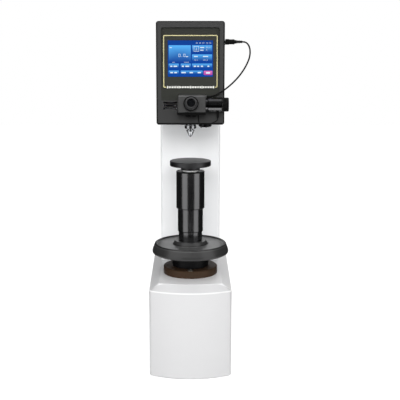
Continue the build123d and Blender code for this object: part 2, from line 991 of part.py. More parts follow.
# Fixed barrel of the drum, with a well for the data button and a seat for the strain relief
with BuildPart() as drum_barrel:
    extrude(disc(drum_radius, across(barrel_start)), amount=barrel_length)
    chamfer(drum_barrel.edges().sort_by(Axis.X)[0], length=1)
    with BuildSketch(across(barrel_start - 1)):
        Circle(measuring_screw_radius + running_gap)
    extrude(amount=barrel_length + 2, mode=Mode.SUBTRACT)
    extrude(
        disc(
            button_radius + running_gap,
            Plane((button_x, drum_y, button_foot - button_travel - moving_gap)),
        ),
        amount=drum_radius,
        mode=Mode.SUBTRACT,
    )
    extrude(
        disc(
            relief_radii[0] + fixed_gap,
            Plane((button_x, drum_y, drum_z - drum_radius + relief_seat)),
        ),
        amount=-drum_radius,
        mode=Mode.SUBTRACT,
    )
drum_barrel.part.label = "drum_barrel"
export_step(drum_barrel.part, "parts/drum_barrel.step")

# Measuring knob with its screw, fluted along its grip
with BuildPart() as measuring_knob:
    extrude(disc(drum_radius, across(knob_start)), amount=knob_length)
    chamfer(measuring_knob.edges(), length=knob_edge)
    with BuildSketch(across(knob_start + 2 * knob_edge)):
        with PolarLocations(drum_radius + flute_radius / 3, knob_flutes):
            Circle(flute_radius)
    extrude(amount=knob_length - 4 * knob_edge, mode=Mode.SUBTRACT)
    extrude(
        disc(measuring_screw_radius, across(measuring_screw_tip)),
        amount=knob_start + 1 - measuring_screw_tip,
    )
measuring_knob.part.label = "measuring_knob"
export_step(measuring_knob.part, "parts/measuring_knob.step")

# Sliding carriage that the measuring screw moves across the view
with BuildPart() as graticule_carriage:
    add(
        block(
            carriage_right - carriage_left,
            carriage_depth,
            carriage_height,
            (carriage_left + carriage_right) / 2,
            drum_y,
            block_bottom + running_gap,
        )
    )
    with BuildSketch(across(carriage_right + 1)):
        Circle(measuring_screw_radius + running_gap)
    extrude(amount=-(carriage_right + 1 - carriage_bore_end), mode=Mode.SUBTRACT)
    with BuildSketch(
        Plane(origin=(eye_x, 0, eye_z), x_dir=(1, 0, 0), z_dir=(0, -1, 0))
    ):
        Circle(carriage_window)
    extrude(amount=-2 * drum_y, mode=Mode.SUBTRACT)
graticule_carriage.part.label = "graticule_carriage"
export_step(graticule_carriage.part, "parts/graticule_carriage.step")

# Data button on top of the barrel
with BuildPart() as data_button:
    extrude(disc(button_radius, Plane((button_x, drum_y, button_foot))), amount=button_height)
    fillet(data_button.edges().sort_by(Axis.Z)[-1], radius=1)
data_button.part.label = "data_button"
export_step(data_button.part, "parts/data_button.step")

# Strain relief under the barrel
with BuildPart() as drum_strain_relief:
    relief_top = drum_z - drum_radius + relief_seat - moving_gap
    relief_collar = relief_seat + 2
    extrude(
        disc(relief_radii[0], Plane((button_x, drum_y, relief_top))), amount=-relief_collar
    )
    with BuildSketch(Plane((button_x, drum_y, relief_top - relief_collar))):
        Circle(relief_radii[0])
    with BuildSketch(Plane((button_x, drum_y, relief_bottom))):
        Circle(relief_radii[1])
    loft()
drum_strain_relief.part.label = "drum_strain_relief"
export_step(drum_strain_relief.part, "parts/drum_strain_relief.step")

# Socket in the right wall of the cover
with BuildPart() as plug_socket:
    with BuildSketch(Plane(origin=(cover_half, plug_y, plug_z), z_dir=(1, 0, 0))):
        Circle(socket_flange[0])
    extrude(amount=socket_flange[1])
    chamfer(plug_socket.edges().sort_by(Axis.X)[-1], length=0.6)
    with BuildSketch(Plane(origin=(cover_half, plug_y, plug_z), z_dir=(-1, 0, 0))):
        Circle(socket_radius)
    extrude(amount=socket_depth)
plug_socket.part.label = "plug_socket"
export_step(plug_socket.part, "parts/plug_socket.step")

# Round plug with its coupling ring, and the tapered boot behind it
plug_start = cover_half + socket_flange[1]
plug_end = plug_start + plug_length
boot_end = plug_end + boot_length
with BuildPart() as plug_body:
    with BuildSketch(Plane(origin=(plug_start, plug_y, plug_z), z_dir=(1, 0, 0))):
        Circle(plug_radius)
    extrude(amount=plug_length)
    chamfer(plug_body.edges().sort_by(Axis.X)[-1], length=1)
    with BuildSketch(Plane(origin=(plug_start, plug_y, plug_z), z_dir=(1, 0, 0))):
        Circle(plug_radius + plug_ring_proud)
    extrude(amount=plug_ring_length)
plug_body.part.label = "plug_body"
export_step(plug_body.part, "parts/plug_body.step")

with BuildPart() as plug_boot:
    with BuildSketch(Plane(origin=(plug_end, plug_y, plug_z), z_dir=(1, 0, 0))):
        Circle(boot_radii[0])
    with BuildSketch(Plane(origin=(boot_end, plug_y, plug_z), z_dir=(1, 0, 0))):
        Circle(boot_radii[1])
    loft()
    for row in range(3):
        ring_x = plug_end + (row + 1.5) * boot_length / 5
        with BuildSketch(Plane(origin=(ring_x, plug_y, plug_z), z_dir=(1, 0, 0))):
            Circle(2 * boot_radii[0])
            Circle(boot_radii[1] - 0.3, mode=Mode.SUBTRACT)
        extrude(amount=boot_length / 12, mode=Mode.SUBTRACT)
plug_boot.part.label = "plug_boot"
export_step(plug_boot.part, "parts/plug_boot.step")

# Signal lead: from the boot it loops down and forward to the eyepiece block's gland
signal_lead = lead(
    "signal_lead",
    [
        (boot_end, plug_y, plug_z),
        (boot_end + 5.5, plug_y, plug_z),
        (boot_end + 12, plug_y - 0.5, plug_z - 3),
        (boot_end + 17, plug_y - 2, plug_z - 9.5),
        (boot_end + 19.5, plug_y - 4.5, plug_z - 18),
        (boot_end + 20, plug_y - 8, plug_z - 29),
        (boot_end + 17.5, plug_y - 12, plug_z - 42),
        (boot_end + 11, plug_y - 17, plug_z - 56.5),
        (boot_end + 1, plug_y - 24, plug_z - 73),
        (boot_end - 15, plug_y - 34, plug_z - 92.5),
        (boot_end - 37, plug_y - 44, plug_z - 112),
        (boot_end - 59, plug_y - 48.5, plug_z - 127),
        (boot_end - 77, block_gland_y, block_gland_z),
        (block_right + block_gland[1], block_gland_y, block_gland_z),
    ],
    signal_lead_radius,
)
signal_lead.part.label = "signal_lead"
export_step(signal_lead.part, "parts/signal_lead.step")

# Two thin leads that dip under the head's front edge and rise into their grommets
lamp_lead = lead(
    "lamp_lead",
    [
        (lamp_lead_x, lamp_lead_y, block_bottom - ledge_height),
        (lamp_lead_x, lamp_lead_y, block_bottom - ledge_height - 12),
        (lamp_lead_x + 2, lamp_lead_y + 1.5, cover_bottom + 6),
        (lamp_lead_x + 4.5, lamp_lead_y + 7, cover_bottom - 2.5),
        (grommet_places[0] - 1, grommet_y - 14.5, cover_bottom - 6),
        (grommet_places[0], grommet_y - 7, cover_bottom - 6.7),
        (grommet_places[0], grommet_y - 2.2, cover_bottom - 5.8),
        (grommet_places[0], grommet_y, cover_bottom - 3.8),
        (grommet_places[0], grommet_y, cover_bottom - grommet_flange[1]),
    ],
    small_lead_radius,
)
lamp_lead.part.label = "lamp_lead"
export_step(lamp_lead.part, "parts/lamp_lead.step")

drum_lead = lead(
    "drum_lead",
    [
        (button_x, drum_y, relief_bottom),
        (button_x, drum_y, relief_bottom - 3.5),
        (button_x - 2.5, drum_y + 0.2, relief_bottom - 7.5),
        (button_x - 9, drum_y + 1, relief_bottom - 11),
        (button_x - 17, drum_y + 4, relief_bottom - 15),
        (button_x - 23, drum_y + 9, cover_bottom + 1),
        (grommet_places[1] + 2.5, grommet_y - 20, cover_bottom - 3.5),
        (grommet_places[1] + 0.5, grommet_y - 12.5, cover_bottom - 6),
        (grommet_places[1], grommet_y - 6.5, cover_bottom - 6.6),
        (grommet_places[1], grommet_y - 2.2, cover_bottom - 5.8),
        (grommet_places[1], grommet_y, cover_bottom - 3.8),
        (grommet_places[1], grommet_y, cover_bottom - grommet_flange[1]),
    ],
    small_lead_radius,
)
drum_lead.part.label = "drum_lead"
export_step(drum_lead.part, "parts/drum_lead.step")

# Grommets in the underside of the cover
with BuildPart() as lead_grommets:
    for x in grommet_places:
        extrude(
            disc(grommet_flange[0], Plane((x, grommet_y, cover_bottom))),
            amount=-grommet_flange[1],
        )
        extrude(
            disc(grommet_radius, Plane((x, grommet_y, cover_bottom))), amount=cover_wall
        )
lead_grommets.part.label = "lead_grommets"
export_step(lead_grommets.part, "parts/lead_grommets.step")

# Turret: a disc that carries the indenter and the objective, on a shouldered axle
with BuildPart() as turret_disc:
    extrude(
        disc(turret_radius, Plane((turret_x, turret_y, turret_bottom))),
        amount=turret_thickness,
    )
    chamfer(turret_disc.edges().group_by(Axis.Z)[0], length=turret_chamfer)
    with Locations((turret_x, turret_y, turret_bottom)):
        Cylinder(axle_radius + running_gap, 3 * turret_thickness, mode=Mode.SUBTRACT)
    with Locations((0, 0, turret_bottom)):
        Cylinder(shaft_radius + running_gap, 3 * turret_thickness, mode=Mode.SUBTRACT)
    with Locations((objective_x, 0, turret_bottom)):
        Cylinder(objective_lens_radius, 3 * turret_thickness, mode=Mode.SUBTRACT)
turret_disc.part.label = "turret_disc"
export_step(turret_disc.part, "parts/turret_disc.step")

with BuildPart() as turret_axle:
    revolve(
        half_section(
            (0, turret_bottom - running_gap - axle_head[1]),
            (axle_head[0] - 1, turret_bottom - running_gap - axle_head[1]),
            (axle_head[0], turret_bottom - running_gap - axle_head[1] + 1),
            (axle_head[0], turret_bottom - running_gap),
            (axle_radius, turret_bottom - running_gap),
            (axle_radius, bridge_top),
            (0, bridge_top),
            plane=upright(turret_x, turret_y),
        ),
        axis=turret_axis,
    )
    with Locations((turret_x, turret_y, (turret_top + bridge_bottom) / 2 + moving_gap / 2)):
        Cylinder(axle_head[0], bridge_bottom - turret_top - moving_gap)
turret_axle.part.label = "turret_axle"
export_step(turret_axle.part, "parts/turret_axle.step")

# Objective: a stepped barrel with its front lens, screwed up against the turret
with BuildPart() as objective_barrel:
    revolve(
        half_section(
            (objective_lens_radius + fixed_gap, objective_bottom),
            (objective_radius - 2.5, objective_bottom),
            (objective_radius, objective_bottom + 2.5),
            (objective_radius, turret_bottom - 6),
            (objective_radius - 1.2, turret_bottom - 5),
            (objective_radius - 1.2, turret_bottom - 3.5),
            (objective_radius, turret_bottom - 2.5),
            (objective_radius, turret_bottom),
            (objective_lens_radius - 1.5, turret_bottom),
            (objective_lens_radius - 1.5, objective_bottom + 2 * objective_lens_depth),
            (objective_lens_radius + fixed_gap, objective_bottom + 2 * objective_lens_depth),
            plane=upright(objective_x, 0),
        ),
        axis=Axis((objective_x, 0, 0), (0, 0, 1)),
    )
objective_barrel.part.label = "objective_barrel"
export_step(objective_barrel.part, "parts/objective_barrel.step")

with BuildPart() as objective_lens:
    extrude(
        disc(
            objective_lens_radius,
            Plane((objective_x, 0, objective_bottom + objective_lens_depth)),
        ),
        amount=objective_lens_depth,
    )
objective_lens.part.label = "objective_lens"
export_step(objective_lens.part, "parts/objective_lens.step")

# Indenter: a shaft that slides in the turret, its chuck, the ball holder and the ball
with BuildPart() as indenter_shaft:
    revolve(
        half_section(
            (0, shaft_foot),
            (shaft_radius, shaft_foot),
            (shaft_radius, shaft_top - shaft_head[1]),
            (shaft_head[0], shaft_top - shaft_head[1]),
            (shaft_head[0], shaft_top),
            (0, shaft_top),
        ),
        axis=Axis.Z,
    )
indenter_shaft.part.label = "indenter_shaft"
export_step(indenter_shaft.part, "parts/indenter_shaft.step")

chuck_top = turret_bottom - moving_gap
with BuildPart() as indenter_chuck:
    revolve(
        half_section(
            (holder_stem[0] + fixed_gap, holder_top),
            (neck_radius, holder_top),
            (neck_radius, chuck_bottom),
            (chuck_radius - 1, chuck_bottom),
            (chuck_radius, chuck_bottom + 1),
            (chuck_radius, chuck_bottom + 9),
            (chuck_radius - 2, chuck_bottom + 10),
            (chuck_radius - 2, chuck_top - 10),
            (chuck_radius, chuck_top - 9),
            (chuck_radius, chuck_top),
            (shaft_radius + fixed_gap, chuck_top),
            (shaft_radius + fixed_gap, shaft_foot),
            (holder_stem[0] + fixed_gap, shaft_foot),
        ),
        axis=Axis.Z,
    )
indenter_chuck.part.label = "indenter_chuck"
export_step(indenter_chuck.part, "parts/indenter_chuck.step")

with BuildPart() as ball_holder:
    revolve(
        half_section(
            (0, holder_tip),
            (holder_tip_radius - 0.8, holder_tip),
            (holder_tip_radius, holder_tip + 1.2),
            (holder_radius - 1, holder_top - 3.5),
            (holder_radius, holder_top - 2.5),
            (holder_radius, holder_top - fixed_gap),
            (holder_stem[0], holder_top - fixed_gap),
            (holder_stem[0], holder_top + holder_stem[1]),
            (0, holder_top + holder_stem[1]),
        ),
        axis=Axis.Z,
    )
    with Locations((0, 0, ball_bottom + ball_radius)):
        Sphere(ball_radius + running_gap, mode=Mode.SUBTRACT)
ball_holder.part.label = "ball_holder"
export_step(ball_holder.part, "parts/ball_holder.step")

with BuildPart() as test_ball:
    with Locations((0, 0, ball_bottom + ball_radius)):
        Sphere(ball_radius)
test_ball.part.label = "test_ball"
export_step(test_ball.part, "parts/test_ball.step")

# Load train: bush, spindle, load cell and crosshead on two guide rods, driven by a screw
with BuildPart() as spindle_bush:
    revolve(
        half_section(
            (spindle_radius + running_gap, bridge_bottom),
            (bush_radius, bridge_bottom),
            (bush_radius, bridge_top),
            (bush_flange[0], bridge_top),
            (bush_flange[0], bridge_top + bush_flange[1]),
            (spindle_radius + running_gap, bridge_top + bush_flange[1]),
        ),
        axis=Axis.Z,
    )
spindle_bush.part.label = "spindle_bush"
export_step(spindle_bush.part, "parts/spindle_bush.step")

with BuildPart() as load_spindle:
    spindle_foot = shaft_top + moving_gap
    extrude(
        disc(spindle_radius, Plane.XY.offset(spindle_foot)),
        amount=cell_bottom - spindle_foot,
    )
    chamfer(load_spindle.edges().sort_by(Axis.Z)[0], length=1)
load_spindle.part.label = "load_spindle"
export_step(load_spindle.part, "parts/load_spindle.step")

with BuildPart() as load_cell:
    revolve(
        half_section(
            (0, cell_bottom),
            (cell_radius / 2, cell_bottom),
            (cell_radius / 2, cell_bottom + 3),
            (cell_radius, cell_bottom + 4),
            (cell_radius, cell_bottom + cell_height - 3),
            (cell_radius - 4, cell_bottom + cell_height),
            (0, cell_bottom + cell_height),
        ),
        axis=Axis.Z,
    )
load_cell.part.label = "load_cell"
export_step(load_cell.part, "parts/load_cell.step")

with BuildPart() as load_crosshead:
    add(block(crosshead_width, crosshead_depth, crosshead_height, 0, 0, crosshead_bottom))
    fillet(load_crosshead.edges().filter_by(Axis.Z), radius=6)
    extrude(disc(nut_boss[0], Plane.XY.offset(crosshead_top)), amount=nut_boss[1])
    for side in (-1, 1):
        with Locations((side * rod_x, 0, crosshead_bottom)):
            Cylinder(rod_radius + running_gap, 3 * crosshead_height, mode=Mode.SUBTRACT)
    extrude(
        disc(
            drive_screw_radius + running_gap,
            Plane.XY.offset(drive_screw_foot - 1),
        ),
        amount=crosshead_height + nut_boss[1],
        mode=Mode.SUBTRACT,
    )
load_crosshead.part.label = "load_crosshead"
export_step(load_crosshead.part, "parts/load_crosshead.step")

with BuildPart() as guide_rods:
    for side in (-1, 1):
        extrude(
            disc(rod_radius, Plane((side * rod_x, 0, bridge_top - rod_seat))),
            amount=top_plate_top - bridge_top + rod_seat,
        )
guide_rods.part.label = "guide_rods"
export_step(guide_rods.part, "parts/guide_rods.step")

with BuildPart() as load_top_plate:
    add(
        block(crosshead_width, crosshead_depth, top_plate_thickness, 0, 0, top_plate_bottom)
    )
    fillet(load_top_plate.edges().filter_by(Axis.Z), radius=6)
    for side in (-1, 1):
        with Locations((side * rod_x, 0, top_plate_bottom)):
            Cylinder(rod_radius + fixed_gap, 3 * top_plate_thickness, mode=Mode.SUBTRACT)
    with Locations((0, 0, top_plate_bottom)):
        Cylinder(
            drive_journal_radius + running_gap, 3 * top_plate_thickness, mode=Mode.SUBTRACT
        )
load_top_plate.part.label = "load_top_plate"
export_step(load_top_plate.part, "parts/load_top_plate.step")

with BuildPart() as drive_screw:
    revolve(
        half_section(
            (0, drive_screw_foot),
            (drive_screw_radius, drive_screw_foot),
            (drive_screw_radius, top_plate_bottom - running_gap),
            (drive_journal_radius, top_plate_bottom - running_gap),
            (drive_journal_radius, top_plate_top - running_gap),
            (0, top_plate_top - running_gap),
        ),
        axis=Axis.Z,
    )
drive_screw.part.label = "drive_screw"
export_step(drive_screw.part, "parts/drive_screw.step")

with BuildPart() as drive_motor:
    with BuildSketch(Plane.XY.offset(top_plate_top)):
        RectangleRounded(motor_flange[0], crosshead_depth, 6)
    extrude(amount=motor_flange[1])
    extrude(
        disc(motor_radius, Plane.XY.offset(top_plate_top + motor_flange[1])),
        amount=motor_height - motor_flange[1],
    )
drive_motor.part.label = "drive_motor"
export_step(drive_motor.part, "parts/drive_motor.step")

# Anvil: a flat table with a boss and a stem that stands in the screw
with BuildPart() as anvil:
    revolve(
        half_section(
            (0, boss_bottom - anvil_stem[1]),
            (anvil_stem[0] - 1, boss_bottom - anvil_stem[1]),
            (anvil_stem[0], boss_bottom - anvil_stem[1] + 1),
            (anvil_stem[0], boss_bottom),
            (anvil_boss[0], boss_bottom),
            (anvil_boss[0], anvil_bottom),
            (anvil_radius - anvil_edge, anvil_bottom),
            (anvil_radius, anvil_bottom + anvil_edge),
            (anvil_radius, anvil_top - anvil_edge),
            (anvil_radius - anvil_edge, anvil_top),
            (0, anvil_top),
        ),
        axis=Axis.Z,
    )
anvil.part.label = "anvil"
export_step(anvil.part, "parts/anvil.step")

# Elevating screw with its shoulder, neck, anvil bore and keyway
with BuildPart() as elevating_screw:
    revolve(
        half_section(
            (0, screw_foot),
            (screw_radius - 2, screw_foot),
            (screw_radius, screw_foot + 2),
            (screw_radius, roof_bottom),
            (screw_neck_radius, roof_bottom),
            (screw_neck_radius, boss_bottom),
            (anvil_stem[0] + fixed_gap, boss_bottom),
            (anvil_stem[0] + fixed_gap, boss_bottom - anvil_stem[1] - moving_gap),
            (0, boss_bottom - anvil_stem[1] - moving_gap),
        ),
        axis=Axis.Z,
    )
    add(
        block(
            keyway_width,
            2 * keyway_depth,
            keyway_top - screw_foot + 1,
            0,
            screw_radius,
            screw_foot - 1,
        ),
        mode=Mode.SUBTRACT,
    )
elevating_screw.part.label = "elevating_screw"
export_step(elevating_screw.part, "parts/elevating_screw.step")

# Telescopic sleeves: each is lipped so that it guides on the next one
with BuildPart() as sleeve_outer:
    revolve(
        half_section(
            (middle_sleeve[0] + moving_gap, outer_sleeve[2]),
            (outer_sleeve[0] - sleeve_edge, outer_sleeve[2]),
            (outer_sleeve[0], outer_sleeve[2] + sleeve_edge),
            (outer_sleeve[0], outer_sleeve[3] - sleeve_edge),
            (outer_sleeve[0] - sleeve_edge, outer_sleeve[3]),
            (screw_neck_radius + fixed_gap, outer_sleeve[3]),
            (screw_neck_radius + fixed_gap, roof_bottom),
            (outer_sleeve[1], roof_bottom),
            (outer_sleeve[1], outer_sleeve[2] + sleeve_lip),
            (middle_sleeve[0] + moving_gap, outer_sleeve[2] + sleeve_lip),
        ),
        axis=Axis.Z,
    )
sleeve_outer.part.label = "sleeve_outer"
export_step(sleeve_outer.part, "parts/sleeve_outer.step")

with BuildPart() as sleeve_middle:
    revolve(
        half_section(
            (inner_sleeve[0] + moving_gap, middle_sleeve[2]),
            (middle_sleeve[0] - sleeve_edge / 2, middle_sleeve[2]),
            (middle_sleeve[0], middle_sleeve[2] + sleeve_edge / 2),
            (middle_sleeve[0], middle_sleeve[3] - sleeve_top_lip),
            (outer_sleeve[1] - moving_gap, middle_sleeve[3] - sleeve_top_lip),
            (outer_sleeve[1] - moving_gap, middle_sleeve[3]),
            (middle_sleeve[1], middle_sleeve[3]),
            (middle_sleeve[1], middle_sleeve[2] + sleeve_lip),
            (inner_sleeve[0] + moving_gap, middle_sleeve[2] + sleeve_lip),
        ),
        axis=Axis.Z,
    )
sleeve_middle.part.label = "sleeve_middle"
export_step(sleeve_middle.part, "parts/sleeve_middle.step")

with BuildPart() as sleeve_inner:
    revolve(
        half_section(
            (inner_sleeve[1], inner_sleeve[2]),
            (inner_sleeve[0], inner_sleeve[2]),
            (inner_sleeve[0], inner_sleeve[3] - sleeve_top_lip),
            (middle_sleeve[1] - moving_gap, inner_sleeve[3] - sleeve_top_lip),
            (middle_sleeve[1] - moving_gap, inner_sleeve[3]),
            (inner_sleeve[1], inner_sleeve[3]),
        ),
        axis=Axis.Z,
    )
sleeve_inner.part.label = "sleeve_inner"
export_step(sleeve_inner.part, "parts/sleeve_inner.step")

# Handwheel: a dished wheel with a sloping rim, a recess and a tapered boss
with BuildPart() as handwheel:
    revolve(
        half_section(
            (nut_radius + fixed_gap, wheel_bottom),
            (boss_foot_radius, wheel_bottom),
            (boss_foot_radius, web_bottom),
            (rim_inner_radius, web_bottom),
            (rim_inner_radius, wheel_bottom),
            (wheel_radius - 4, wheel_bottom),
            (wheel_radius - 1, wheel_bottom + 2.5),
            (wheel_radius, wheel_bottom + 6),
            (wheel_radius - 0.8, rim_shoulder),
            (rim_top_radius + 1.5, rim_top - 1.5),
            (rim_top_radius - 0.6, rim_top),
            (recess_radius + 1, rim_top),
            (recess_radius, rim_top - 1),
            (recess_radius - 1.5, web_top),
            (boss_foot_radius, web_top),
            (boss_top_radius, boss_top - 1.5),
            (boss_top_radius - 1.5, boss_top),
            (boss_bore, boss_top),
            (boss_bore, nut_top + running_gap),
            (nut_radius + fixed_gap, nut_top + running_gap),
        ),
        axis=Axis.Z,
    )
handwheel.part.label = "handwheel"
export_step(handwheel.part, "parts/handwheel.step")

with BuildPart() as wheel_hub:
    revolve(
        half_section(
            (bearing_bore, hub_bottom),
            (hub_radius - 1, hub_bottom),
            (hub_radius, hub_bottom + 1),
            (hub_radius, wheel_bottom - hub_flange[1]),
            (hub_flange[0] - 1, wheel_bottom - hub_flange[1]),
            (hub_flange[0], wheel_bottom - hub_flange[1] + 1),
            (hub_flange[0], wheel_bottom),
            (nut_radius + fixed_gap, wheel_bottom),
            (nut_radius + fixed_gap, nut_bottom),
            (bearing_bore, nut_bottom),
        ),
        axis=Axis.Z,
    )
wheel_hub.part.label = "wheel_hub"
export_step(wheel_hub.part, "parts/wheel_hub.step")

with BuildPart() as screw_nut:
    revolve(
        half_section(
            (screw_radius + running_gap, nut_bottom),
            (nut_radius, nut_bottom),
            (nut_radius, nut_top),
            (screw_radius + running_gap, nut_top),
        ),
        axis=Axis.Z,
    )
screw_nut.part.label = "screw_nut"
export_step(screw_nut.part, "parts/screw_nut.step")

# Collar on the deck, with the bearing's recess and the key's slot
with BuildPart() as collar:
    revolve(
        half_section(
            (collar_bore, deck_height),
            (collar_radius, deck_height),
            (collar_radius, collar_top - collar_edge),
            (collar_radius - collar_edge, collar_top),
            (bearing_radius + fixed_gap, collar_top),
            (bearing_radius + fixed_gap, collar_top - bearing_height),
            (collar_bore, collar_top - bearing_height),
        ),
        axis=Axis.Z,
    )
    add(
        block(
            keyway_width,
            collar_bore + key_length,
            key_height + fixed_gap,
            0,
            (collar_bore + key_length) / 2,
            deck_height,
        ),
        mode=Mode.SUBTRACT,
    )
    with PolarLocations(collar_screw_circle, collar_screw_count, start_angle=45):
        with Locations((0, 0, deck_height)):
            Cylinder(
                collar_screw_radius + fixed_gap, 2 * collar_screw_grip, mode=Mode.SUBTRACT
            )
collar.part.label = "collar"
export_step(collar.part, "parts/collar.step")

with BuildPart() as collar_screws:
    with PolarLocations(collar_screw_circle, collar_screw_count, start_angle=45):
        with Locations((0, 0, deck_underside)):
            Cylinder(
                collar_screw_radius,
                deck_thickness + collar_screw_grip - moving_gap,
                align=(Align.CENTER, Align.CENTER, Align.MIN),
            )
            Cylinder(
                collar_screw_head[0],
                collar_screw_head[1],
                align=(Align.CENTER, Align.CENTER, Align.MAX),
            )
collar_screws.part.label = "collar_screws"
export_step(collar_screws.part, "parts/collar_screws.step")

with BuildPart() as thrust_bearing:
    bearing_foot = collar_top - bearing_height
    bearing_head = hub_bottom - running_gap
    bearing_middle = (bearing_foot + bearing_head) / 2
    revolve(
        half_section(
            (bearing_bore, bearing_foot),
            (bearing_radius, bearing_foot),
            (bearing_radius, bearing_middle - bearing_groove),
            (bearing_radius - bearing_groove, bearing_middle - bearing_groove),
            (bearing_radius - bearing_groove, bearing_middle + bearing_groove),
            (bearing_radius, bearing_middle + bearing_groove),
            (bearing_radius, bearing_head),
            (bearing_bore, bearing_head),
        ),
        axis=Axis.Z,
    )
thrust_bearing.part.label = "thrust_bearing"
export_step(thrust_bearing.part, "parts/thrust_bearing.step")

# Key that keeps the screw from turning
with BuildPart() as guide_key:
    key_start = screw_radius - keyway_depth + moving_gap
    key_end = collar_bore + key_length - moving_gap
    add(
        block(
            keyway_width - 2 * running_gap,
            key_end - key_start,
            key_height,
            0,
            (key_start + key_end) / 2,
            deck_height,
        )
    )
guide_key.part.label = "guide_key"
export_step(guide_key.part, "parts/guide_key.step")

# Power module on the back: a flanged body with the inlet's hollow, its pins and the rocker's well
with BuildPart() as power_inlet:
    add(
        block(
            inlet_outline[0],
            inlet_flange,
            inlet_outline[1],
            module_x,
            cover_back_face + inlet_flange / 2,
            module_z - inlet_outline[1] / 2,
        )
    )
    fillet(power_inlet.edges().filter_by(Axis.Y), radius=3)
    add(
        block(
            inlet_body[0],
            inlet_body[2],
            inlet_body[1],
            module_x,
            cover_back_face - inlet_body[2] / 2,
            module_z - inlet_body[1] / 2,
        )
    )
    add(
        block(
            inlet_cavity[0],
            inlet_cavity[2],
            inlet_cavity[1],
            module_x,
            inlet_mouth - inlet_cavity[2] / 2,
            module_z + inlet_cavity_z - inlet_cavity[1] / 2,
        ),
        mode=Mode.SUBTRACT,
    )
    for column, row in ((-1, -1), (0, 1), (1, -1)):
        add(
            block(
                inlet_pin[1],
                inlet_pin[2],
                inlet_pin[0],
                module_x + column * inlet_pin_spacing,
                inlet_mouth - inlet_cavity[2] + inlet_pin[2] / 2,
                module_z + inlet_cavity_z + row * inlet_pin[0] / 2 - inlet_pin[0] / 2,
            )
        )
    add(
        block(
            rocker_size[0] + 2 * moving_gap,
            2 * rocker_pocket,
            rocker_size[1] + 2 * rocker_gap,
            module_x,
            inlet_mouth,
            module_z + rocker_z - rocker_size[1] / 2 - rocker_gap,
        ),
        mode=Mode.SUBTRACT,
    )
power_inlet.part.label = "power_inlet"
export_step(power_inlet.part, "parts/power_inlet.step")

# Rocker of the power switch, tilting about its pivot
with BuildPart() as power_rocker:
    with BuildSketch(
        Plane(
            origin=(module_x - rocker_size[0] / 2, rocker_pivot_y, module_z + rocker_z),
            x_dir=(0, math.cos(rocker_tilt), math.sin(rocker_tilt)),
            z_dir=(1, 0, 0),
        )
    ):
        with BuildLine():
            Polyline(
                (-rocker_depth, -rocker_size[1] / 5),
                (-rocker_depth, rocker_size[1] / 5),
                (0, rocker_size[1] / 2),
                (rocker_proud, rocker_size[1] / 2),
                (rocker_proud / 2, 0),
                (rocker_proud, -rocker_size[1] / 2),
                (0, -rocker_size[1] / 2),
                close=True,
            )
        make_face()
    extrude(amount=rocker_size[0])
power_rocker.part.label = "power_rocker"
export_step(power_rocker.part, "parts/power_rocker.step")

# Data socket beside it
with BuildPart() as data_port:
    add(
        block(
            data_outline[0],
            inlet_flange / 2,
            data_outline[1],
            data_x,
            cover_back_face + inlet_flange / 4,
            module_z - data_outline[1] / 2,
        )
    )
    add(
        block(
            data_shell[0],
            data_depth + data_shell[2],
            data_shell[1],
            data_x,
            cover_back_face + data_shell[2] - (data_depth + data_shell[2]) / 2,
            module_z - data_shell[1] / 2,
        )
    )
    fillet(data_port.edges().filter_by(Axis.Y), radius=1.5)
data_port.part.label = "data_port"
export_step(data_port.part, "parts/data_port.step")
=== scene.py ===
"""Looks of the bench hardness tester: camera, finishes, turned pieces, panel, screen, leads and lamps."""
import math

import bmesh
import bpy
import numpy as np
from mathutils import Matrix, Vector


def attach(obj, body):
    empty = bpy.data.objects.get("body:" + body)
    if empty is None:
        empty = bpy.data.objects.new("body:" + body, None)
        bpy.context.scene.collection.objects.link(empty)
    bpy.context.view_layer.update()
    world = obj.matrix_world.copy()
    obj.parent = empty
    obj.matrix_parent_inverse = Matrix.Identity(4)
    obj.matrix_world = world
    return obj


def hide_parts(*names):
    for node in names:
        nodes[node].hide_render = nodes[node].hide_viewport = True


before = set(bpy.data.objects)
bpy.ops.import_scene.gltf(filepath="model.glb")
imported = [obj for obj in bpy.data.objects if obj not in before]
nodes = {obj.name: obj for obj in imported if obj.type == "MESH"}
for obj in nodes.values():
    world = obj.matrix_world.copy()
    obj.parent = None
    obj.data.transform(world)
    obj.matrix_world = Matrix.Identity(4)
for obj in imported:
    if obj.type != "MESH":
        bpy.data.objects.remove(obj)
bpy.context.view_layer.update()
MM = 0.001

# Camera, set at the photograph's distance, height and tilt
EYE_DISTANCE = 2.355
EYE_HEIGHT = 0.909
EYE_TILT = 11.0
LENS = 79.9
SIDE_SHIFT = 0.024

eye = bpy.data.objects.new("eye", bpy.data.cameras.new("eye"))
bpy.context.scene.collection.objects.link(eye)
eye.location = (0.0, -EYE_DISTANCE, EYE_HEIGHT)
eye.rotation_euler = (math.radians(90 - EYE_TILT), 0.0, 0.0)
eye.data.lens = LENS
eye.data.shift_x = SIDE_SHIFT
eye.data.clip_end = 50.0
bpy.context.scene.camera = eye
bpy.context.scene.view_settings.view_transform = "Standard"


# Colours and nodes
NOISE_LOW, NOISE_HIGH = 0.15, 0.85


def linear(colour):
    """An sRGB hex colour as linear RGBA: c / 12.92 up to 0.04045, ((c + 0.055) / 1.055) ^ 2.4 above it."""
    c = np.array([int(colour[i:i + 2], 16) for i in (1, 3, 5)]) / 255
    return (*np.where(c <= 0.04045, c / 12.92, ((c + 0.055) / 1.055) ** 2.4).tolist(), 1.0)


def add(tree, kind, settings=None, inputs=None):
    """Adds one node with its settings, and gives each input a value or another node's output."""
    made = tree.nodes.new(kind)
    for name, value in (settings or {}).items():
        setattr(made, name, value)
    for name, value in (inputs or {}).items():
        if isinstance(value, bpy.types.NodeSocket):
            tree.links.new(value, made.inputs[name])
        else:
            made.inputs[name].default_value = value
    return made


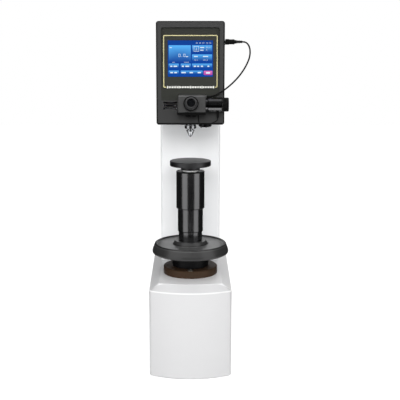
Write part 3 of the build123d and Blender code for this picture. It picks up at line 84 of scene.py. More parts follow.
def per(size):
    """A texture's scale for features of that size in mm, on coordinates in metres."""
    return 1.0 / (size * MM)


def finish(name, colour, drift, patch, grain, depth, roughness, spread=0.0, stretch=(1, 1, 1), **sockets):
    """A finish whose colour drifts between two tones over patches of so many mm. Its roughness follows the
    same patches, from roughness - spread at NOISE_LOW to roughness + spread at NOISE_HIGH. Its bumps are
    grain mm wide and depth mm deep, drawn out by stretch. The other sockets are constants of the shader,
    named in small letters with underscores."""
    made = bpy.data.materials.new(name)
    made.use_nodes = True
    tree = made.node_tree
    tree.nodes.clear()
    place = add(tree, "ShaderNodeTexCoord").outputs["Object"]
    wide = add(tree, "ShaderNodeTexNoise", None, {"Vector": place, "Scale": per(patch), "Detail": 4.0})
    tone = add(tree, "ShaderNodeMix", {"data_type": "RGBA"},
               {0: wide.outputs["Fac"], 6: linear(colour), 7: linear(drift)})
    dull = add(tree, "ShaderNodeMapRange", None,
               {"Value": wide.outputs["Fac"], "From Min": NOISE_LOW, "From Max": NOISE_HIGH,
                "To Min": roughness - spread, "To Max": roughness + spread})
    turned_place = add(tree, "ShaderNodeMapping", None, {"Vector": place, "Scale": stretch})
    fine = add(tree, "ShaderNodeTexNoise", None,
               {"Vector": turned_place.outputs[0], "Scale": per(grain), "Detail": 2.0})
    bump = add(tree, "ShaderNodeBump", None,
               {"Height": fine.outputs["Fac"], "Distance": depth * MM, "Strength": 1.0})
    constants = {k.replace("_", " ").title().replace("Ior", "IOR"): v for k, v in sockets.items()}
    shader = add(tree, "ShaderNodeBsdfPrincipled", None,
                 {"Base Color": tone.outputs[2], "Roughness": dull.outputs[0], "Normal": bump.outputs[0],
                  **constants})
    add(tree, "ShaderNodeOutputMaterial", None, {"Surface": shader.outputs[0]})
    return made


def zone(skin, colour, low, high, soft, outside=False):
    """Lays another tone over a finish inside a box in metres, or outside it. The mask is the product, over
    x, y and z, of two ramps that rise from 0 at the box's sides to 1 at soft mm within them."""
    tree = skin.node_tree
    place = add(tree, "ShaderNodeTexCoord").outputs["Object"]
    ramps = []
    for first, second in ((place, tuple(low)), (tuple(high), place)):
        depth = add(tree, "ShaderNodeVectorMath", {"operation": "SUBTRACT"}, {0: first, 1: second})
        slope = add(tree, "ShaderNodeVectorMath", {"operation": "SCALE"},
                    {0: depth.outputs[0], "Scale": 1 / (soft * MM)})
        foot = add(tree, "ShaderNodeVectorMath", {"operation": "MAXIMUM"},
                   {0: slope.outputs[0], 1: (0, 0, 0)})
        ramps.append(add(tree, "ShaderNodeVectorMath", {"operation": "MINIMUM"},
                         {0: foot.outputs[0], 1: (1, 1, 1)}))
    both = add(tree, "ShaderNodeVectorMath", {"operation": "MULTIPLY"},
               {0: ramps[0].outputs[0], 1: ramps[1].outputs[0]})
    parts = add(tree, "ShaderNodeSeparateXYZ", None, {0: both.outputs[0]})
    level = add(tree, "ShaderNodeMath", {"operation": "MULTIPLY"},
                {0: parts.outputs[0], 1: parts.outputs[1]})
    mask = add(tree, "ShaderNodeMath", {"operation": "MULTIPLY"}, {0: level.outputs[0], 1: parts.outputs[2]})
    if outside:
        mask = add(tree, "ShaderNodeMath", {"operation": "SUBTRACT"}, {0: 1.0, 1: mask.outputs[0]})
    shader = next(node for node in tree.nodes if node.type == "BSDF_PRINCIPLED")
    under = shader.inputs["Base Color"].links[0].from_socket
    tone = add(tree, "ShaderNodeMix", {"data_type": "RGBA"},
               {0: mask.outputs[0], 6: under, 7: linear(colour)})
    tree.links.new(tone.outputs[2], shader.inputs["Base Color"])


def box(name):
    """The corners of a node's box in metres."""
    points = np.empty(3 * len(nodes[name].data.vertices))
    nodes[name].data.vertices.foreach_get("co", points)
    points = points.reshape(-1, 3)
    return points.min(0), points.max(0)


# Finishes. Turning and grinding lines are 0.25 to 0.5 mm wide, coarser than real ones, so that they show

# Stove enamel on cast iron: an even pale skin with faint orange peel, a little glossier than eggshell
pale_enamel = finish("pale_stove_enamel", "#F3F4F5", "#F0F1F2", 60, 2.2, 0.012, 0.36, 0.04,
                     specular_ior_level=0.3, coat_weight=0.08, coat_roughness=0.18)
# The same enamel on the base, a shade greyer than on the column
base_enamel = finish("base_stove_enamel", "#DADADB", "#D7D7D8", 60, 2.2, 0.012, 0.40, 0.04,
                     coat_weight=0.2, coat_roughness=0.22)
# Painted shade on the shoulder's front, a shade deeper, and a painted highlight as the thin bright line of
# its lower edge
WIDE = 0.2
EDGE_LINE_FOOT, SHOULDER_FOOT, SHOULDER_TOP = 0.2309, 0.2343, 0.2508
zone(base_enamel, "#BDBDBE", (-WIDE, -WIDE, SHOULDER_FOOT), (WIDE, -0.118, SHOULDER_TOP), 0.8)
zone(base_enamel, "#ECECEC", (-WIDE, -WIDE, EDGE_LINE_FOOT), (WIDE, -0.1, SHOULDER_FOOT), 1.2)
# Injection moulded ABS: a spark-eroded matt grain that greys the black in the light, and few reflections
moulded_abs = finish("moulded_black_abs", "#373737", "#3A3A3A", 40, 0.9, 0.006, 0.55, 0.04,
                     specular_ior_level=0.1)
cover_low, cover_high = box("front_cover")
cover_front = cover_low[1]
# Its recess in the film's colour, painted shade inside its slots, and painted shade round its outside edges
RECESS_HALF, RECESS_FOOT, RECESS_TOP = 0.074, 0.724, 0.909
zone(moulded_abs, "#2D2E2A", (-RECESS_HALF, cover_front + 0.00008, RECESS_FOOT),
     (RECESS_HALF, cover_front + 0.03, RECESS_TOP), 0.05)
# Painted shade: the inside of the slots near black
zone(moulded_abs, "#020202", (-0.071, cover_front + 0.0004, 0.699), (-0.031, cover_front + 0.05, 0.7239),
     0.3)
# Painted shade: near black outside the front's box, on the cover's sides and along its top and bottom edges
zone(moulded_abs, "#050505", cover_low + (0.0026, -0.01, 0.004), cover_high - (0.0026, -0.01, 0.002), 1.6,
     outside=True)
# Polycarbonate film on the recessed face: smoother than the moulding and a touch greener
panel_film = finish("polycarbonate_film", "#2F302C", "#31322E", 30, 0.5, 0.002, 0.45, 0.03,
                    specular_ior_level=0.1)
# Black-oxided turned steel: dark, metallic and lightly oiled, with soft long highlights
black_oxide, outer_oxide_lip_shade, middle_oxide_lip_shade = (
    finish(f"{name}_oxided_steel", "#747475", "#6F6F70", 18, 0.5, 0.0001, 0.20, 0.02, (0.05, 0.05, 1),
           metallic=1.0)
    for name in ("black", "outer_sleeve", "middle_sleeve"))
# Painted shade and painted dark reflection: a dark band at the lower lip of the outer and the middle sleeve
for skin, lip_height in ((outer_oxide_lip_shade, 0.430), (middle_oxide_lip_shade, 0.367)):
    zone(skin, "#080808", (-0.05, -0.05, lip_height - 0.001), (0.05, 0.05, lip_height + 0.0024), 0.6)
# Wiper ring where the screw leaves the outer sleeve: turned acetal, nearly white, its white partly a painted
# highlight for the bright neck seen above it
white_acetal_and_highlight = finish("white_acetal_and_highlight", "#FAFAFA", "#F6F6F6", 8, 0.5, 0.0005, 0.35, 0.02)
# Hardened anvil steel, ground flat and blued almost black
anvil_steel = finish("blued_anvil_steel", "#454546", "#424243", 22, 0.5, 0.0004, 0.42, 0.04, metallic=1.0)
# Turned hub under the wheel: black oxide, darker and duller than the sleeves, its near-black colour and low
# sheen partly painted shade for its place under the wheel
hub_steel = finish("dull_black_oxide_and_shade", "#0E0E0F", "#111112", 16, 0.5, 0.0004, 0.40, 0.03,
                   specular_ior_level=0.15)
# Stove-enamelled handwheel iron: black, sprayed, a soft sheen with fine peel
wheel_enamel = finish("black_stove_enamel", "#2A2A2A", "#2D2D2D", 30, 1.6, 0.003, 0.30, 0.03)
# The dish, a shade paler as a painted reflection of the pale column behind it, and painted shade as the dark
# line where its edge rises
DISH_LOW, DISH_HIGH, EDGE_HIGH = 0.3292, 0.3318, 0.3338
zone(wheel_enamel, "#424242", (-WIDE, -WIDE, DISH_LOW), (WIDE, WIDE, DISH_HIGH), 0.5)
zone(wheel_enamel, "#060606", (-WIDE, -WIDE, DISH_HIGH), (WIDE, WIDE, EDGE_HIGH), 0.4)
# Ground tool steel: pale grey, bright, with fine cross lines
ground_steel = finish("ground_tool_steel", "#B9BABC", "#A9AAAD", 10, 0.25, 0.001, 0.20, 0.04, (1, 1, 0.08),
                      metallic=1.0)
# Hard chromium: the brightest metal on the machine, with a slight blue cast
bright_chrome = finish("hard_chromium", "#DADCDF", "#CFD2D5", 12, 0.3, 0.0005, 0.12, 0.02, metallic=1.0)
# Browned steel: an iron-oxide skin that goes from straw to chestnut in soft clouds
brown_oxide = finish("browned_steel", "#422A1A", "#342A1C", 22, 0.8, 0.006, 0.50, 0.06,
                     metallic=0.3, specular_ior_level=0.3)
# Cast tin bronze: warm, dull and slightly grainy
tin_bronze = finish("tin_bronze", "#A9793F", "#93672F", 12, 0.7, 0.01, 0.38, 0.06, metallic=1.0)
# Painted zinc casting of the eyepiece: satin black that lets its bevels catch the light
block_paint = finish("satin_black_paint", "#3C3C3C", "#3F3F3F", 20, 0.9, 0.003, 0.36, 0.03,
                     specular_ior_level=0.35)
# Anodised aluminium of the drum and knobs: near black, with soft bands round the barrel
black_anodised = finish("black_anodised_aluminium", "#2E2E2F", "#2A2A2B", 18, 0.4, 0.0002, 0.22, 0.02,
                        metallic=1.0)
# Painted highlight: the light band along the barrel's lower side, standing for a long reflection of the
# light below it
zone(black_anodised, "#767677", (0.03, -0.16, 0.700), (0.2, -0.1, 0.713), 2.5)
# Blackened brass of the fluted grips, also on small black rings: duller and deeper than the barrel
black_grip = finish("black_grip", "#080808", "#0B0B0B", 10, 0.5, 0.001, 0.36, 0.03,
                    specular_ior_level=0.08)
# Satin anodising of the ocular: a grey sheen on its rings
satin_ring = finish("satin_anodised_ring", "#2C2C2D", "#303031", 10, 0.5, 0.001, 0.34, 0.03,
                    specular_ior_level=0.5)
# Graduations filled with grey lacquer, which keep quiet beside the black grip
grey_lacquer = finish("grey_lacquer", "#54544F", "#4C4C48", 8, 0.5, 0.0005, 0.5, 0.03)
# Ground neck of the elevating screw: bright, with a soft even sheen
ground_neck = finish("ground_screw_steel", "#ECEDEE", "#E4E5E6", 12, 0.5, 0.0003, 0.34, 0.03, metallic=1.0)
# Pressed steel of the oil cup: a warm grey under its film of oil
oiled_steel = finish("oiled_steel", "#7A766D", "#6A665E", 6, 0.5, 0.0003, 0.30, 0.03, metallic=1.0)
# Milled aluminium: silvery, satin
bare_aluminium = finish("milled_aluminium", "#C3C5C6", "#B5B7B9", 12, 0.4, 0.002, 0.32, 0.05, (1, 0.1, 1),
                        metallic=1.0)
# Coated optical glass: nearly black in the barrel, with a clear hard gloss
lens_glass = finish("coated_optical_glass", "#0A0B0C", "#0C0D10", 8, 4.0, 0.0005, 0.05, 0.01,
                    specular_ior_level=0.4)
# PVC lead sheath: soft black with a waxy sheen
pvc_sheath = finish("pvc_lead_sheath", "#060606", "#080808", 12, 0.6, 0.002, 0.55, 0.04,
                    specular_ior_level=0.1)
# Glass fibre board under solder mask: a deep green with a slight shine
solder_mask = finish("green_solder_mask", "#1E5A34", "#184C2B", 9, 0.5, 0.004, 0.35, 0.05)
# Moulded nylon of the switch and the inlet: black, finely grained
moulded_nylon = finish("moulded_black_nylon", "#1A1A1A", "#1E1E1E", 10, 0.5, 0.004, 0.50, 0.04,
                       specular_ior_level=0.25)
# Cover glass of the display, deep blue where the backlight shows through
cover_glass = finish("display_cover_glass", "#0A2A66", "#0C2E6E", 30, 5.0, 0.0005, 0.10, 0.02)
# Screen-printing inks of the border line and of the marks under it: pale yellow and off-white, matt
yellow_ink = finish("pale_yellow_ink", "#C4BB86", "#BBB27F", 12, 0.6, 0.0005, 0.5, 0.03)
white_ink = finish("white_ink", "#E6E6E0", "#DEDED8", 12, 0.6, 0.0005, 0.5, 0.03)


def backlit(name, low, high, strength):
    """Printed light of the display: emission that goes from one tone at rise 0 to another at rise 1."""
    made = bpy.data.materials.new(name)
    made.use_nodes = True
    tree = made.node_tree
    tree.nodes.clear()
    rise = add(tree, "ShaderNodeAttribute", {"attribute_name": "rise"}).outputs["Fac"]
    tone = add(tree, "ShaderNodeMix", {"data_type": "RGBA"}, {0: rise, 6: linear(low), 7: linear(high)})
    shader = add(tree, "ShaderNodeBsdfPrincipled", None,
                 {"Base Color": (0.0, 0.0, 0.0, 1.0), "Roughness": 0.12, "Emission Color": tone.outputs[2],
                  "Emission Strength": strength})
    add(tree, "ShaderNodeOutputMaterial", None, {"Surface": shader.outputs[0]})
    return made


# Lights of the display: deep ground, paler panels towards their tops, the rose key and near-white figures
ground_glow = backlit("display_ground", "#0848A6", "#083F94", 1.0)
panel_glow = backlit("display_panel", "#083C98", "#5CB8FF", 1.0)
key_glow = backlit("display_rose_key", "#C04AA4", "#EC80C8", 0.95)
figure_glow = backlit("display_figure", "#DDF0FF", "#EAF6FF", 1.0)

wearing = {
    pale_enamel: "column_casting head_casting rear_cover",
    base_enamel: "base_casting",
    moulded_abs: "front_cover display_module",
    panel_film: "face_panel",
    cover_glass: "touch_screen",
    solder_mask: "control_board",
    block_paint: "eyepiece_block",
    black_anodised: "drum_flange drum_barrel",
    black_grip: "eyepiece_ledge dioptre_ring measuring_knob lock_knob",
    lens_glass: "eye_lens objective_lens",
    pvc_sheath: "drum_strain_relief plug_body plug_boot lead_grommets signal_lead lamp_lead drum_lead",
    ground_neck: "elevating_screw",
    bright_chrome: "objective_barrel plug_socket rear_cover_screws",
    ground_steel: "indenter_shaft indenter_chuck ball_holder test_ball load_spindle guide_rods drive_screw "
                  "turret_axle thrust_bearing",
    bare_aluminium: "graticule_carriage load_cell load_crosshead load_top_plate turret_disc",
    black_oxide: "sleeve_outer sleeve_middle sleeve_inner collar_screws guide_key",
    anvil_steel: "anvil",
    hub_steel: "wheel_hub",
    wheel_enamel: "handwheel drive_motor",
    tin_bronze: "screw_nut spindle_bush",
    brown_oxide: "collar",
    moulded_nylon: "power_inlet power_rocker data_port data_button",
}
for skin, names in wearing.items():
    for name in names.split():
        nodes[name].data.materials.clear()
        nodes[name].data.materials.append(skin)


# Shapes: grids of points in mm, worked out whole and joined into pieces
def eased(corners, reach, closed=False, steps=5):
    """A line with each corner rounded: from a, reach before the corner c, to b, reach after it, it follows
    (1 - t)^2 a + 2 t (1 - t) c + t^2 b. Reach is never more than 0.45 of the run beside the corner."""
    c = np.array(corners, float)
    before, after = np.roll(c, 1, 0) - c, np.roll(c, -1, 0) - c
    sizes = [np.linalg.norm(run, axis=1, keepdims=True) + 1e-9 for run in (before, after)]
    a, b = (c + run / size * np.minimum(reach, 0.45 * size) for run, size in zip((before, after), sizes))
    t = np.linspace(0, 1, steps)[None, :, None]
    line = (1 - t) ** 2 * a[:, None] + 2 * t * (1 - t) * c[:, None] + t ** 2 * b[:, None]
    if not closed:
        line[0], line[-1] = c[0], c[-1]
    return line.reshape(-1, c.shape[1])


def turned(profile, steps=96, ribs=0, sharp=1.0):
    """A profile of (radius, height, rib depth) carried round the z axis: the point at angle t is
    (r cos t, r sin t, h), where r is the radius less the rib depth times ((1 - cos(ribs t)) / 2) ^ sharp."""
    profile = np.array(profile, float)
    if profile.shape[1] == 2:
        profile = np.c_[profile, np.zeros(len(profile))]
    t = np.linspace(0, 2 * np.pi, steps, endpoint=False)
    r = profile[:, :1] - profile[:, 2:] * ((1 - np.cos(ribs * t)) / 2) ** sharp
    return np.stack([r * np.cos(t), r * np.sin(t), profile[:, 1:2] + 0 * t], -1)


def carried(grid, origin, along):
    """A grid made round the z axis, set on another axis: origin + x a + y b + z c, where c is the unit
    vector along, a is level and b is square to both."""
    c = np.array(along, float) / np.linalg.norm(along)
    a = np.cross((0.0, 0.0, 1.0), c) if abs(c[2]) < 0.99 else np.array((1.0, 0.0, 0.0))
    a = a / np.linalg.norm(a)
    return np.array(origin, float) + grid @ np.array([a, np.cross(c, a), c])


def plate(x0, y0, x1, y1, low, high, corner=0.3, steps=3):
    """A closed flat plate between two heights: its outline is a rectangle with its corners rounded, and each
    face is the outline drawn in to its middle."""
    outline = eased([(x0, y0), (x1, y0), (x1, y1), (x0, y1)], corner, True, steps)
    middle = outline * 0 + ((x0 + x1) / 2, (y0 + y1) / 2)
    rows = [(middle, low), (outline, low), (outline, high), (middle, high)]
    return np.stack([np.c_[line, np.full(len(line), height)] for line, height in rows])


def strip(line, width, low, high, closed=False):
    """A flat strip along a line in a plane: each point is moved to both sides, square to the run through it,
    by half the width, and the section of four corners is closed at both ends."""
    line = np.array(line, float)
    run = np.roll(line, -1, 0) - np.roll(line, 1, 0)
    if not closed:
        run[0], run[-1] = line[1] - line[0], line[-1] - line[-2]
    side = np.c_[-run[:, 1], run[:, 0]] / np.linalg.norm(run, axis=1, keepdims=True) * width / 2
    grid = np.stack([np.c_[line + s * side, np.full(len(line), z)]
                     for s, z in ((1, low), (-1, low), (-1, high), (1, high))], 1)
    if closed:
        return grid
    return np.concatenate([grid[:1] * 0 + grid[0].mean(0), grid, grid[-1:] * 0 + grid[-1].mean(0)])


def piece(name, body, slot, skin, *grids, wrap_rows=False, crease=34.0, stands_for=(), rise=None):
    """One piece from grids that close on themselves across, and along too where wrap_rows is set. Points
    that meet are welded, faces are turned outwards, and edges sharper than crease degrees stay sharp. Rise
    is a value per grid point that the finish reads."""
    corners, start = [], 0
    for grid in grids:
        rows, columns = grid.shape[:2]
        i, j = np.meshgrid(np.arange(rows - (not wrap_rows)), np.arange(columns), indexing="ij")
        k, m = (i + 1) % rows, (j + 1) % columns
        corners.append(start + np.stack([i * columns + j, i * columns + m, k * columns + m, k * columns + j],
                                        -1).reshape(-1, 4))
        start += rows * columns
    mesh = bpy.data.meshes.new(name)
    points = np.concatenate([grid.reshape(-1, 3) for grid in grids]) * MM
    mesh.from_pydata(points.tolist(), [], np.concatenate(corners).tolist())
    if rise is not None:
        mesh.attributes.new("rise", "FLOAT", "POINT").data.foreach_set("value", rise.astype(np.float32))
    shell = bmesh.new()
    shell.from_mesh(mesh)
    bmesh.ops.remove_doubles(shell, verts=shell.verts, dist=1e-6)
    bmesh.ops.recalc_face_normals(shell, faces=shell.faces)
    shell.to_mesh(mesh)
    shell.free()
    mesh.shade_smooth()
    mesh.set_sharp_from_angle(angle=math.radians(crease))
    mesh.materials.append(skin)
    made = bpy.data.objects.new(name, mesh)
    bpy.context.scene.collection.objects.link(made)
    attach(made, body)
    if stands_for:
        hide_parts(*stands_for)


# Anvil: a flat disc with crisp ground edges, on a boss that seats on the screw's neck
ANVIL_TOP = 559.0
ANVIL_RADIUS = 55.0
piece("anvil_plate", "screw", "dark_anvil_steel", anvil_steel,
      turned(eased([(0, ANVIL_TOP), (ANVIL_RADIUS - 1.1, ANVIL_TOP), (ANVIL_RADIUS, ANVIL_TOP - 1.1),
                    (ANVIL_RADIUS, 546.6), (ANVIL_RADIUS - 1.1, 545.5), (26, 545.5), (26, 536.0),
                    (24.9, 535.0), (10, 535.0), (10, 503.5), (9, 502.5), (0, 502.5)], 0.5), 144),
      stands_for=["anvil"])

# Telescopic sleeves with eased ends, the wiper ring on top of them and the ring that holds it
piece("outer_sleeve_shell", "screw", "black_oxide", outer_oxide_lip_shade,
      turned(eased([(34.55, 430), (36.9, 430), (38.15, 431.2), (38.15, 528.9), (36.8, 530.3), (16.53, 530.3),
                    (16.53, 523), (35.5, 523), (35.5, 433), (34.55, 433)], 0.6, True), 128),
      wrap_rows=True, stands_for=["sleeve_outer"])
piece("wiper_ring", "screw", "switch_plastic", white_acetal_and_highlight,
      turned(eased([(16.6, 530.2), (20.5, 530.2), (20.5, 533.6), (19.9, 534.2), (16.6, 534.2)], 0.3, True),
             96),
      wrap_rows=True)
piece("wiper_holder", "screw", "black_oxide", black_grip,
      turned(eased([(20.7, 530.1), (36.9, 530.1), (38.0, 528.9), (38.4, 529.1), (37.6, 530.8), (36.9, 531.1),
                    (20.7, 531.1)], 0.3, True), 128), wrap_rows=True)
piece("middle_sleeve_shell", "middle_sleeve", "black_oxide", middle_oxide_lip_shade,
      turned(eased([(32.3, 367), (33.5, 367), (34.25, 367.7), (34.25, 473), (35.2, 473), (35.2, 477),
                    (33, 477), (33, 370), (32.3, 370)], 0.4, True), 128),
      wrap_rows=True, stands_for=["sleeve_middle"])
piece("inner_sleeve_shell", "wheel", "black_oxide", black_oxide,
      turned(eased([(30, 341), (32, 341), (32, 436), (32.7, 436), (32.7, 440), (30, 440)], 0.4, True), 128),
      wrap_rows=True, stands_for=["sleeve_inner"])

# Handwheel: a sloping rim, a shallow dish and a low tapered boss, with eased cast edges
piece("handwheel_casting", "wheel", "black_enamel", wheel_enamel,
      turned(eased([(31.03, 306), (47.8, 306), (47.8, 321.5), (84, 321.5), (84, 306), (99.5, 306),
                    (102.5, 308.2), (103.5, 312), (102.7, 317), (96.7, 333), (94.6, 334.5), (92, 334.5),
                    (91, 333.5), (89.5, 330.5), (47.8, 330.5), (43, 339.5), (41.5, 341), (27, 341),
                    (27, 335.05), (31.03, 335.05)], 1.1, True), 160),
      wrap_rows=True, stands_for=["handwheel"])
piece("wheel_hub_turning", "wheel", "black_oxide", hub_steel,
      turned(eased([(28, 271.3), (48.3, 271.3), (49.3, 272.3), (49.3, 302), (59, 302), (60, 303), (60, 306),
                    (31.03, 306), (31.03, 276), (28, 276)], 0.5, True), 128),
      wrap_rows=True, stands_for=["wheel_hub"])

# Oil cup on the collar's top: a rolled rim round a dark spring ball
OIL_CUP = (0.0, -62.0, 271.0)
piece("oil_cup", "frame", "ground_steel", oiled_steel,
      carried(turned(eased([(0, 0.2), (5.0, 0.2), (5.2, 1.6), (6.4, 2.4), (7.8, 1.6), (8.2, 0), (8.2, -0.6),
                            (0, -0.6)], 0.4), 64), OIL_CUP, (0, 0, 1)))
t = np.linspace(-np.pi / 2, np.pi / 2, 15)
piece("oil_cup_ball", "frame", "black_moulding", black_grip,
      carried(turned(np.c_[4.6 * np.cos(t), 0.1 + 1.9 * np.sin(t)], 40), OIL_CUP, (0, 0, 1)))

# Printed border round the screen and the row of plain marks in its lower gap, on the sloping face
FACE_ORIGIN = np.array((0.0, -96.0, 724.0))
FACE_SLOPE = math.atan2(7.0, 185.0)
FACE_OUT = np.array((0.0, -math.cos(FACE_SLOPE), math.sin(FACE_SLOPE)))
FACE_UP = np.array((0.0, math.sin(FACE_SLOPE), math.cos(FACE_SLOPE)))
FACE_BASIS = np.array([(1.0, 0.0, 0.0), FACE_UP, FACE_OUT])


def on_face(grid):
    """Points given as (right, up the slope, out of it) in mm, put on the sloping face of the cover."""
    return FACE_ORIGIN + grid @ FACE_BASIS


PRINT_LOW, PRINT_HIGH = 1.19, 1.26
BORDER_WIDTH = 2.2
BORDER = (-67.3, 36.6, 67.3, 165.2)
GAP = (-60.8, 61.5)
left, low, right, high = BORDER
border_line = eased([(GAP[0], low), (left, low), (left, high), (right, high), (right, low), (GAP[1], low)],
                    2.5, steps=7)
piece("border_print", "frame", "screen_glass", yellow_ink,
      on_face(strip(border_line[6:-6], BORDER_WIDTH, PRINT_LOW, PRINT_HIGH)))
MARK_COUNT = 29
MARK_HALF = 1.3
marks = np.linspace(GAP[0] + 3, GAP[1] - 3, MARK_COUNT)
tall = np.where(np.arange(MARK_COUNT) % 7 == 0, 3.0, 2.3)
piece("scale_print", "frame", "screen_glass", white_ink,
      *[on_face(plate(x - MARK_HALF, low - h, x + MARK_HALF, low + h, PRINT_LOW, PRINT_HIGH, 0.2, 2))
        for x, h in zip(marks, tall)])

# Slots in the cover: a black moulded lip round each, on the cover's front
SLOT_HALF = 15.5
SLOT_END = 1.5
SLOT_LIP = 0.9
SLOT_X = -51.0
SLOT_TOP = 722.0
SLOT_PITCH = 7.8
slot_offset = SLOT_END + SLOT_LIP / 2
slot_lips = []
for row, bow in enumerate((-1.6, 0.5, 2.6)):
    x = np.linspace(-SLOT_HALF, SLOT_HALF, 17)
    middle = np.c_[x, bow * (1 - (x / SLOT_HALF) ** 2)]
    run = np.gradient(middle, axis=0)
    side = np.c_[-run[:, 1], run[:, 0]] / np.linalg.norm(run, axis=1, keepdims=True) * slot_offset
    turn = np.linspace(np.pi / 2, -np.pi / 2, 9)[1:-1, None]
    cap = slot_offset * np.c_[np.cos(turn), np.sin(turn)]
    outline = np.concatenate([middle + side, middle[-1] + cap, (middle - side)[::-1], middle[0] - cap])
    lip = strip(outline, SLOT_LIP, -0.3, 0.12, True)
    slot_lips.append(np.stack([SLOT_X + lip[..., 0], cover_front / MM - lip[..., 2],
                               SLOT_TOP - SLOT_PITCH * row + lip[..., 1]], -1))
piece("slot_lips", "frame", "black_moulding", black_grip, *slot_lips, wrap_rows=True)

# Screen: a lit ground, its panels and keys with light at their tops, and the figures on them
SCREEN_CENTRE = (0.0, 108.0)
SCREEN_FRONT = 1.0
LAYER = 0.05
LIGHT_RISE = 1.6


def on_screen(x0, y0, x1, y1, layer, corner=0.5):
    """A plate on the screen, from its left, bottom, right and top edges in mm from the screen's middle. Each
    layer stands one layer's thickness in front of the one under it."""
    cx, cy = SCREEN_CENTRE
    foot = SCREEN_FRONT + 0.01 + LAYER * (layer - 1)
    return on_face(plate(cx + x0, cy + y0, cx + x1, cy + y1, foot, foot + LAYER, corner))


def lit(name, skin, boxes, layer, corner=0.5):
    """One piece of plates whose rise is (height over the plate's foot / its whole height) ^ LIGHT_RISE."""
    grids = [on_screen(*box, layer, corner) for box in boxes]
    heights = [(grid[..., 2] - grid[..., 2].min()) / np.ptp(grid[..., 2]) for grid in grids]
    piece(name, "frame", "screen_glass", skin, *grids,
          rise=np.concatenate([h.ravel() ** LIGHT_RISE for h in heights]))


lit("screen_ground", ground_glow, [(-56.6, -44.9, 56.6, 44.9)], 1, 1.0)
lit("screen_panels", panel_glow,
    [(-54.6, -11.1, 0.9, 33.1), (4.1, 14.9, 54.5, 33.1), (4.1, -7.0, 54.5, 10.3),
     (-54.6, -23.5, -29.2, -12.5), (-24.5, -23.5, 0.9, -12.5), (4.1, -23.5, 54.5, -12.5),
     (-54.6, -39.0, -29.2, -29.9), (-24.5, -39.0, 31.0, -29.9)], 2, 0.9)
lit("screen_stop_key", key_glow, [(33.7, -40.8, 55.4, -30.6)], 2, 1.6)


def figure(value, x, y, height, width, stroke):
    """The bars of a seven bar figure with its foot at y and its left at x: three level bars and four upright
    ones, of which each figure lights its own."""
    bars = {"a": (0, 1, 1, 1), "g": (0, 0.5, 1, 0.5), "d": (0, 0, 1, 0), "f": (0, 0.5, 0, 1),
            "b": (1, 0.5, 1, 1), "e": (0, 0, 0, 0.5), "c": (1, 0, 1, 0.5)}
    lights = {"0": "abcdef", "1": "bc", "2": "abdeg", "3": "abcdg", "4": "bcfg", "5": "acdfg", "6": "acdefg",
              "7": "abc", "8": "abcdefg", "9": "abcdfg"}
    return [(x + bars[k][0] * width - stroke / 2, y + bars[k][1] * height - stroke / 2,
             x + bars[k][2] * width + stroke / 2, y + bars[k][3] * height + stroke / 2)
            for k in lights[value]]


def figures(text, x, y, height, spacing):
    """The bars of a row of figures; a full stop is one small square."""
    found = []
    for number, letter in enumerate(text):
        at = x + number * spacing
        if letter == ".":
            stop = at + spacing * 0.2
            found.append((stop, y - height * 0.08, stop + height * 0.16, y + height * 0.08))
        elif letter != " ":
            found += figure(letter, at, y, height, spacing * 0.62, height * 0.13)
    return found


bars = figures("0.0", -29.4, 4.8, 6.4, 6.2)
bars += figures("00 00 00", 14.0, 37.6, 2.2, 2.7) + figures("00 00", 40.0, 37.6, 2.2, 2.6)
bars += figures("100.0", 38.0, 26.6, 2.4, 2.6) + figures("10", 38.0, 20.4, 2.4, 2.6)
bars += figures("15.0", 8.5, -4.8, 2.4, 2.6) + figures("100.0", 31.0, -4.8, 2.4, 2.6)
words = [(-52.2, 26.5, -46.6, 28.2), (-11.6, 4.0, -5.6, 5.8), (-45.8, -9.4, -39.3, -8.7),
         (-16.5, -9.4, -3.9, -8.7), (24.5, 26.2, 34.5, 28.4), (24.5, 19.8, 33.0, 22.0),
         (9.0, 4.2, 18.5, 6.4), (31.5, 4.2, 44.5, 6.4),
         (-50.6, -20.6, -45.4, -17.6), (-42.4, -20.6, -33.4, -17.6), (-21.6, -20.6, -16.2, -17.6),
         (-12.6, -20.6, -3.2, -17.6), (8.4, -20.6, 14.4, -17.6), (17.2, -20.6, 22.0, -17.6),
         (26.4, -20.6, 31.8, -17.6), (43.0, -20.6, 47.6, -17.6), (-50.6, -36.4, -44.0, -33.4),
         (-40.6, -36.4, -34.0, -33.4), (-22.6, -36.4, -11.8, -33.4), (-2.0, -36.4, 6.4, -33.4),
         (18.4, -36.4, 26.4, -33.4)]
lit("screen_figures", figure_glow, bars, 3, 0.08)
lit("screen_marks", figure_glow, words + [(39.3, -37.6, 49.8, -33.6)], 3, 0.3)
lit("screen_picture", figure_glow,
    [(8.6, 17.4, 9.4, 30.6), (8.6, 29.8, 21.4, 30.6), (20.6, 17.4, 21.4, 30.6), (8.6, 17.4, 21.4, 18.2),
     (12.0, 20.8, 18.0, 21.6), (14.6, 21.6, 15.4, 27.4)], 3, 0.1)

# Measuring drum: the fluted knob with its divisions, and the index line on the barrel
DRUM = (0.0, -118.0, 718.6)
DRUM_RADIUS = 17.5
piece("knob_grip", "measuring_knob", "black_anodised", black_grip,
      carried(turned(eased([(0, 13.0, 0), (4, 13.0, 0), (4, 78.3, 0), (16.2, 78.3, 0), (17.3, 79.4, 0),
                            (17.5, 81.9, 0), (17.5, 82.6, 0.5), (17.5, 92.0, 0.5), (17.5, 92.7, 0),
                            (17.5, 94.7, 0), (15.9, 96.3, 0), (12.4, 96.3, 0), (12.0, 95.6, 0),
                            (0, 95.6, 0)], 0.35), 224, 56, 0.7), DRUM, (1, 0, 0)),
      stands_for=["measuring_knob"])


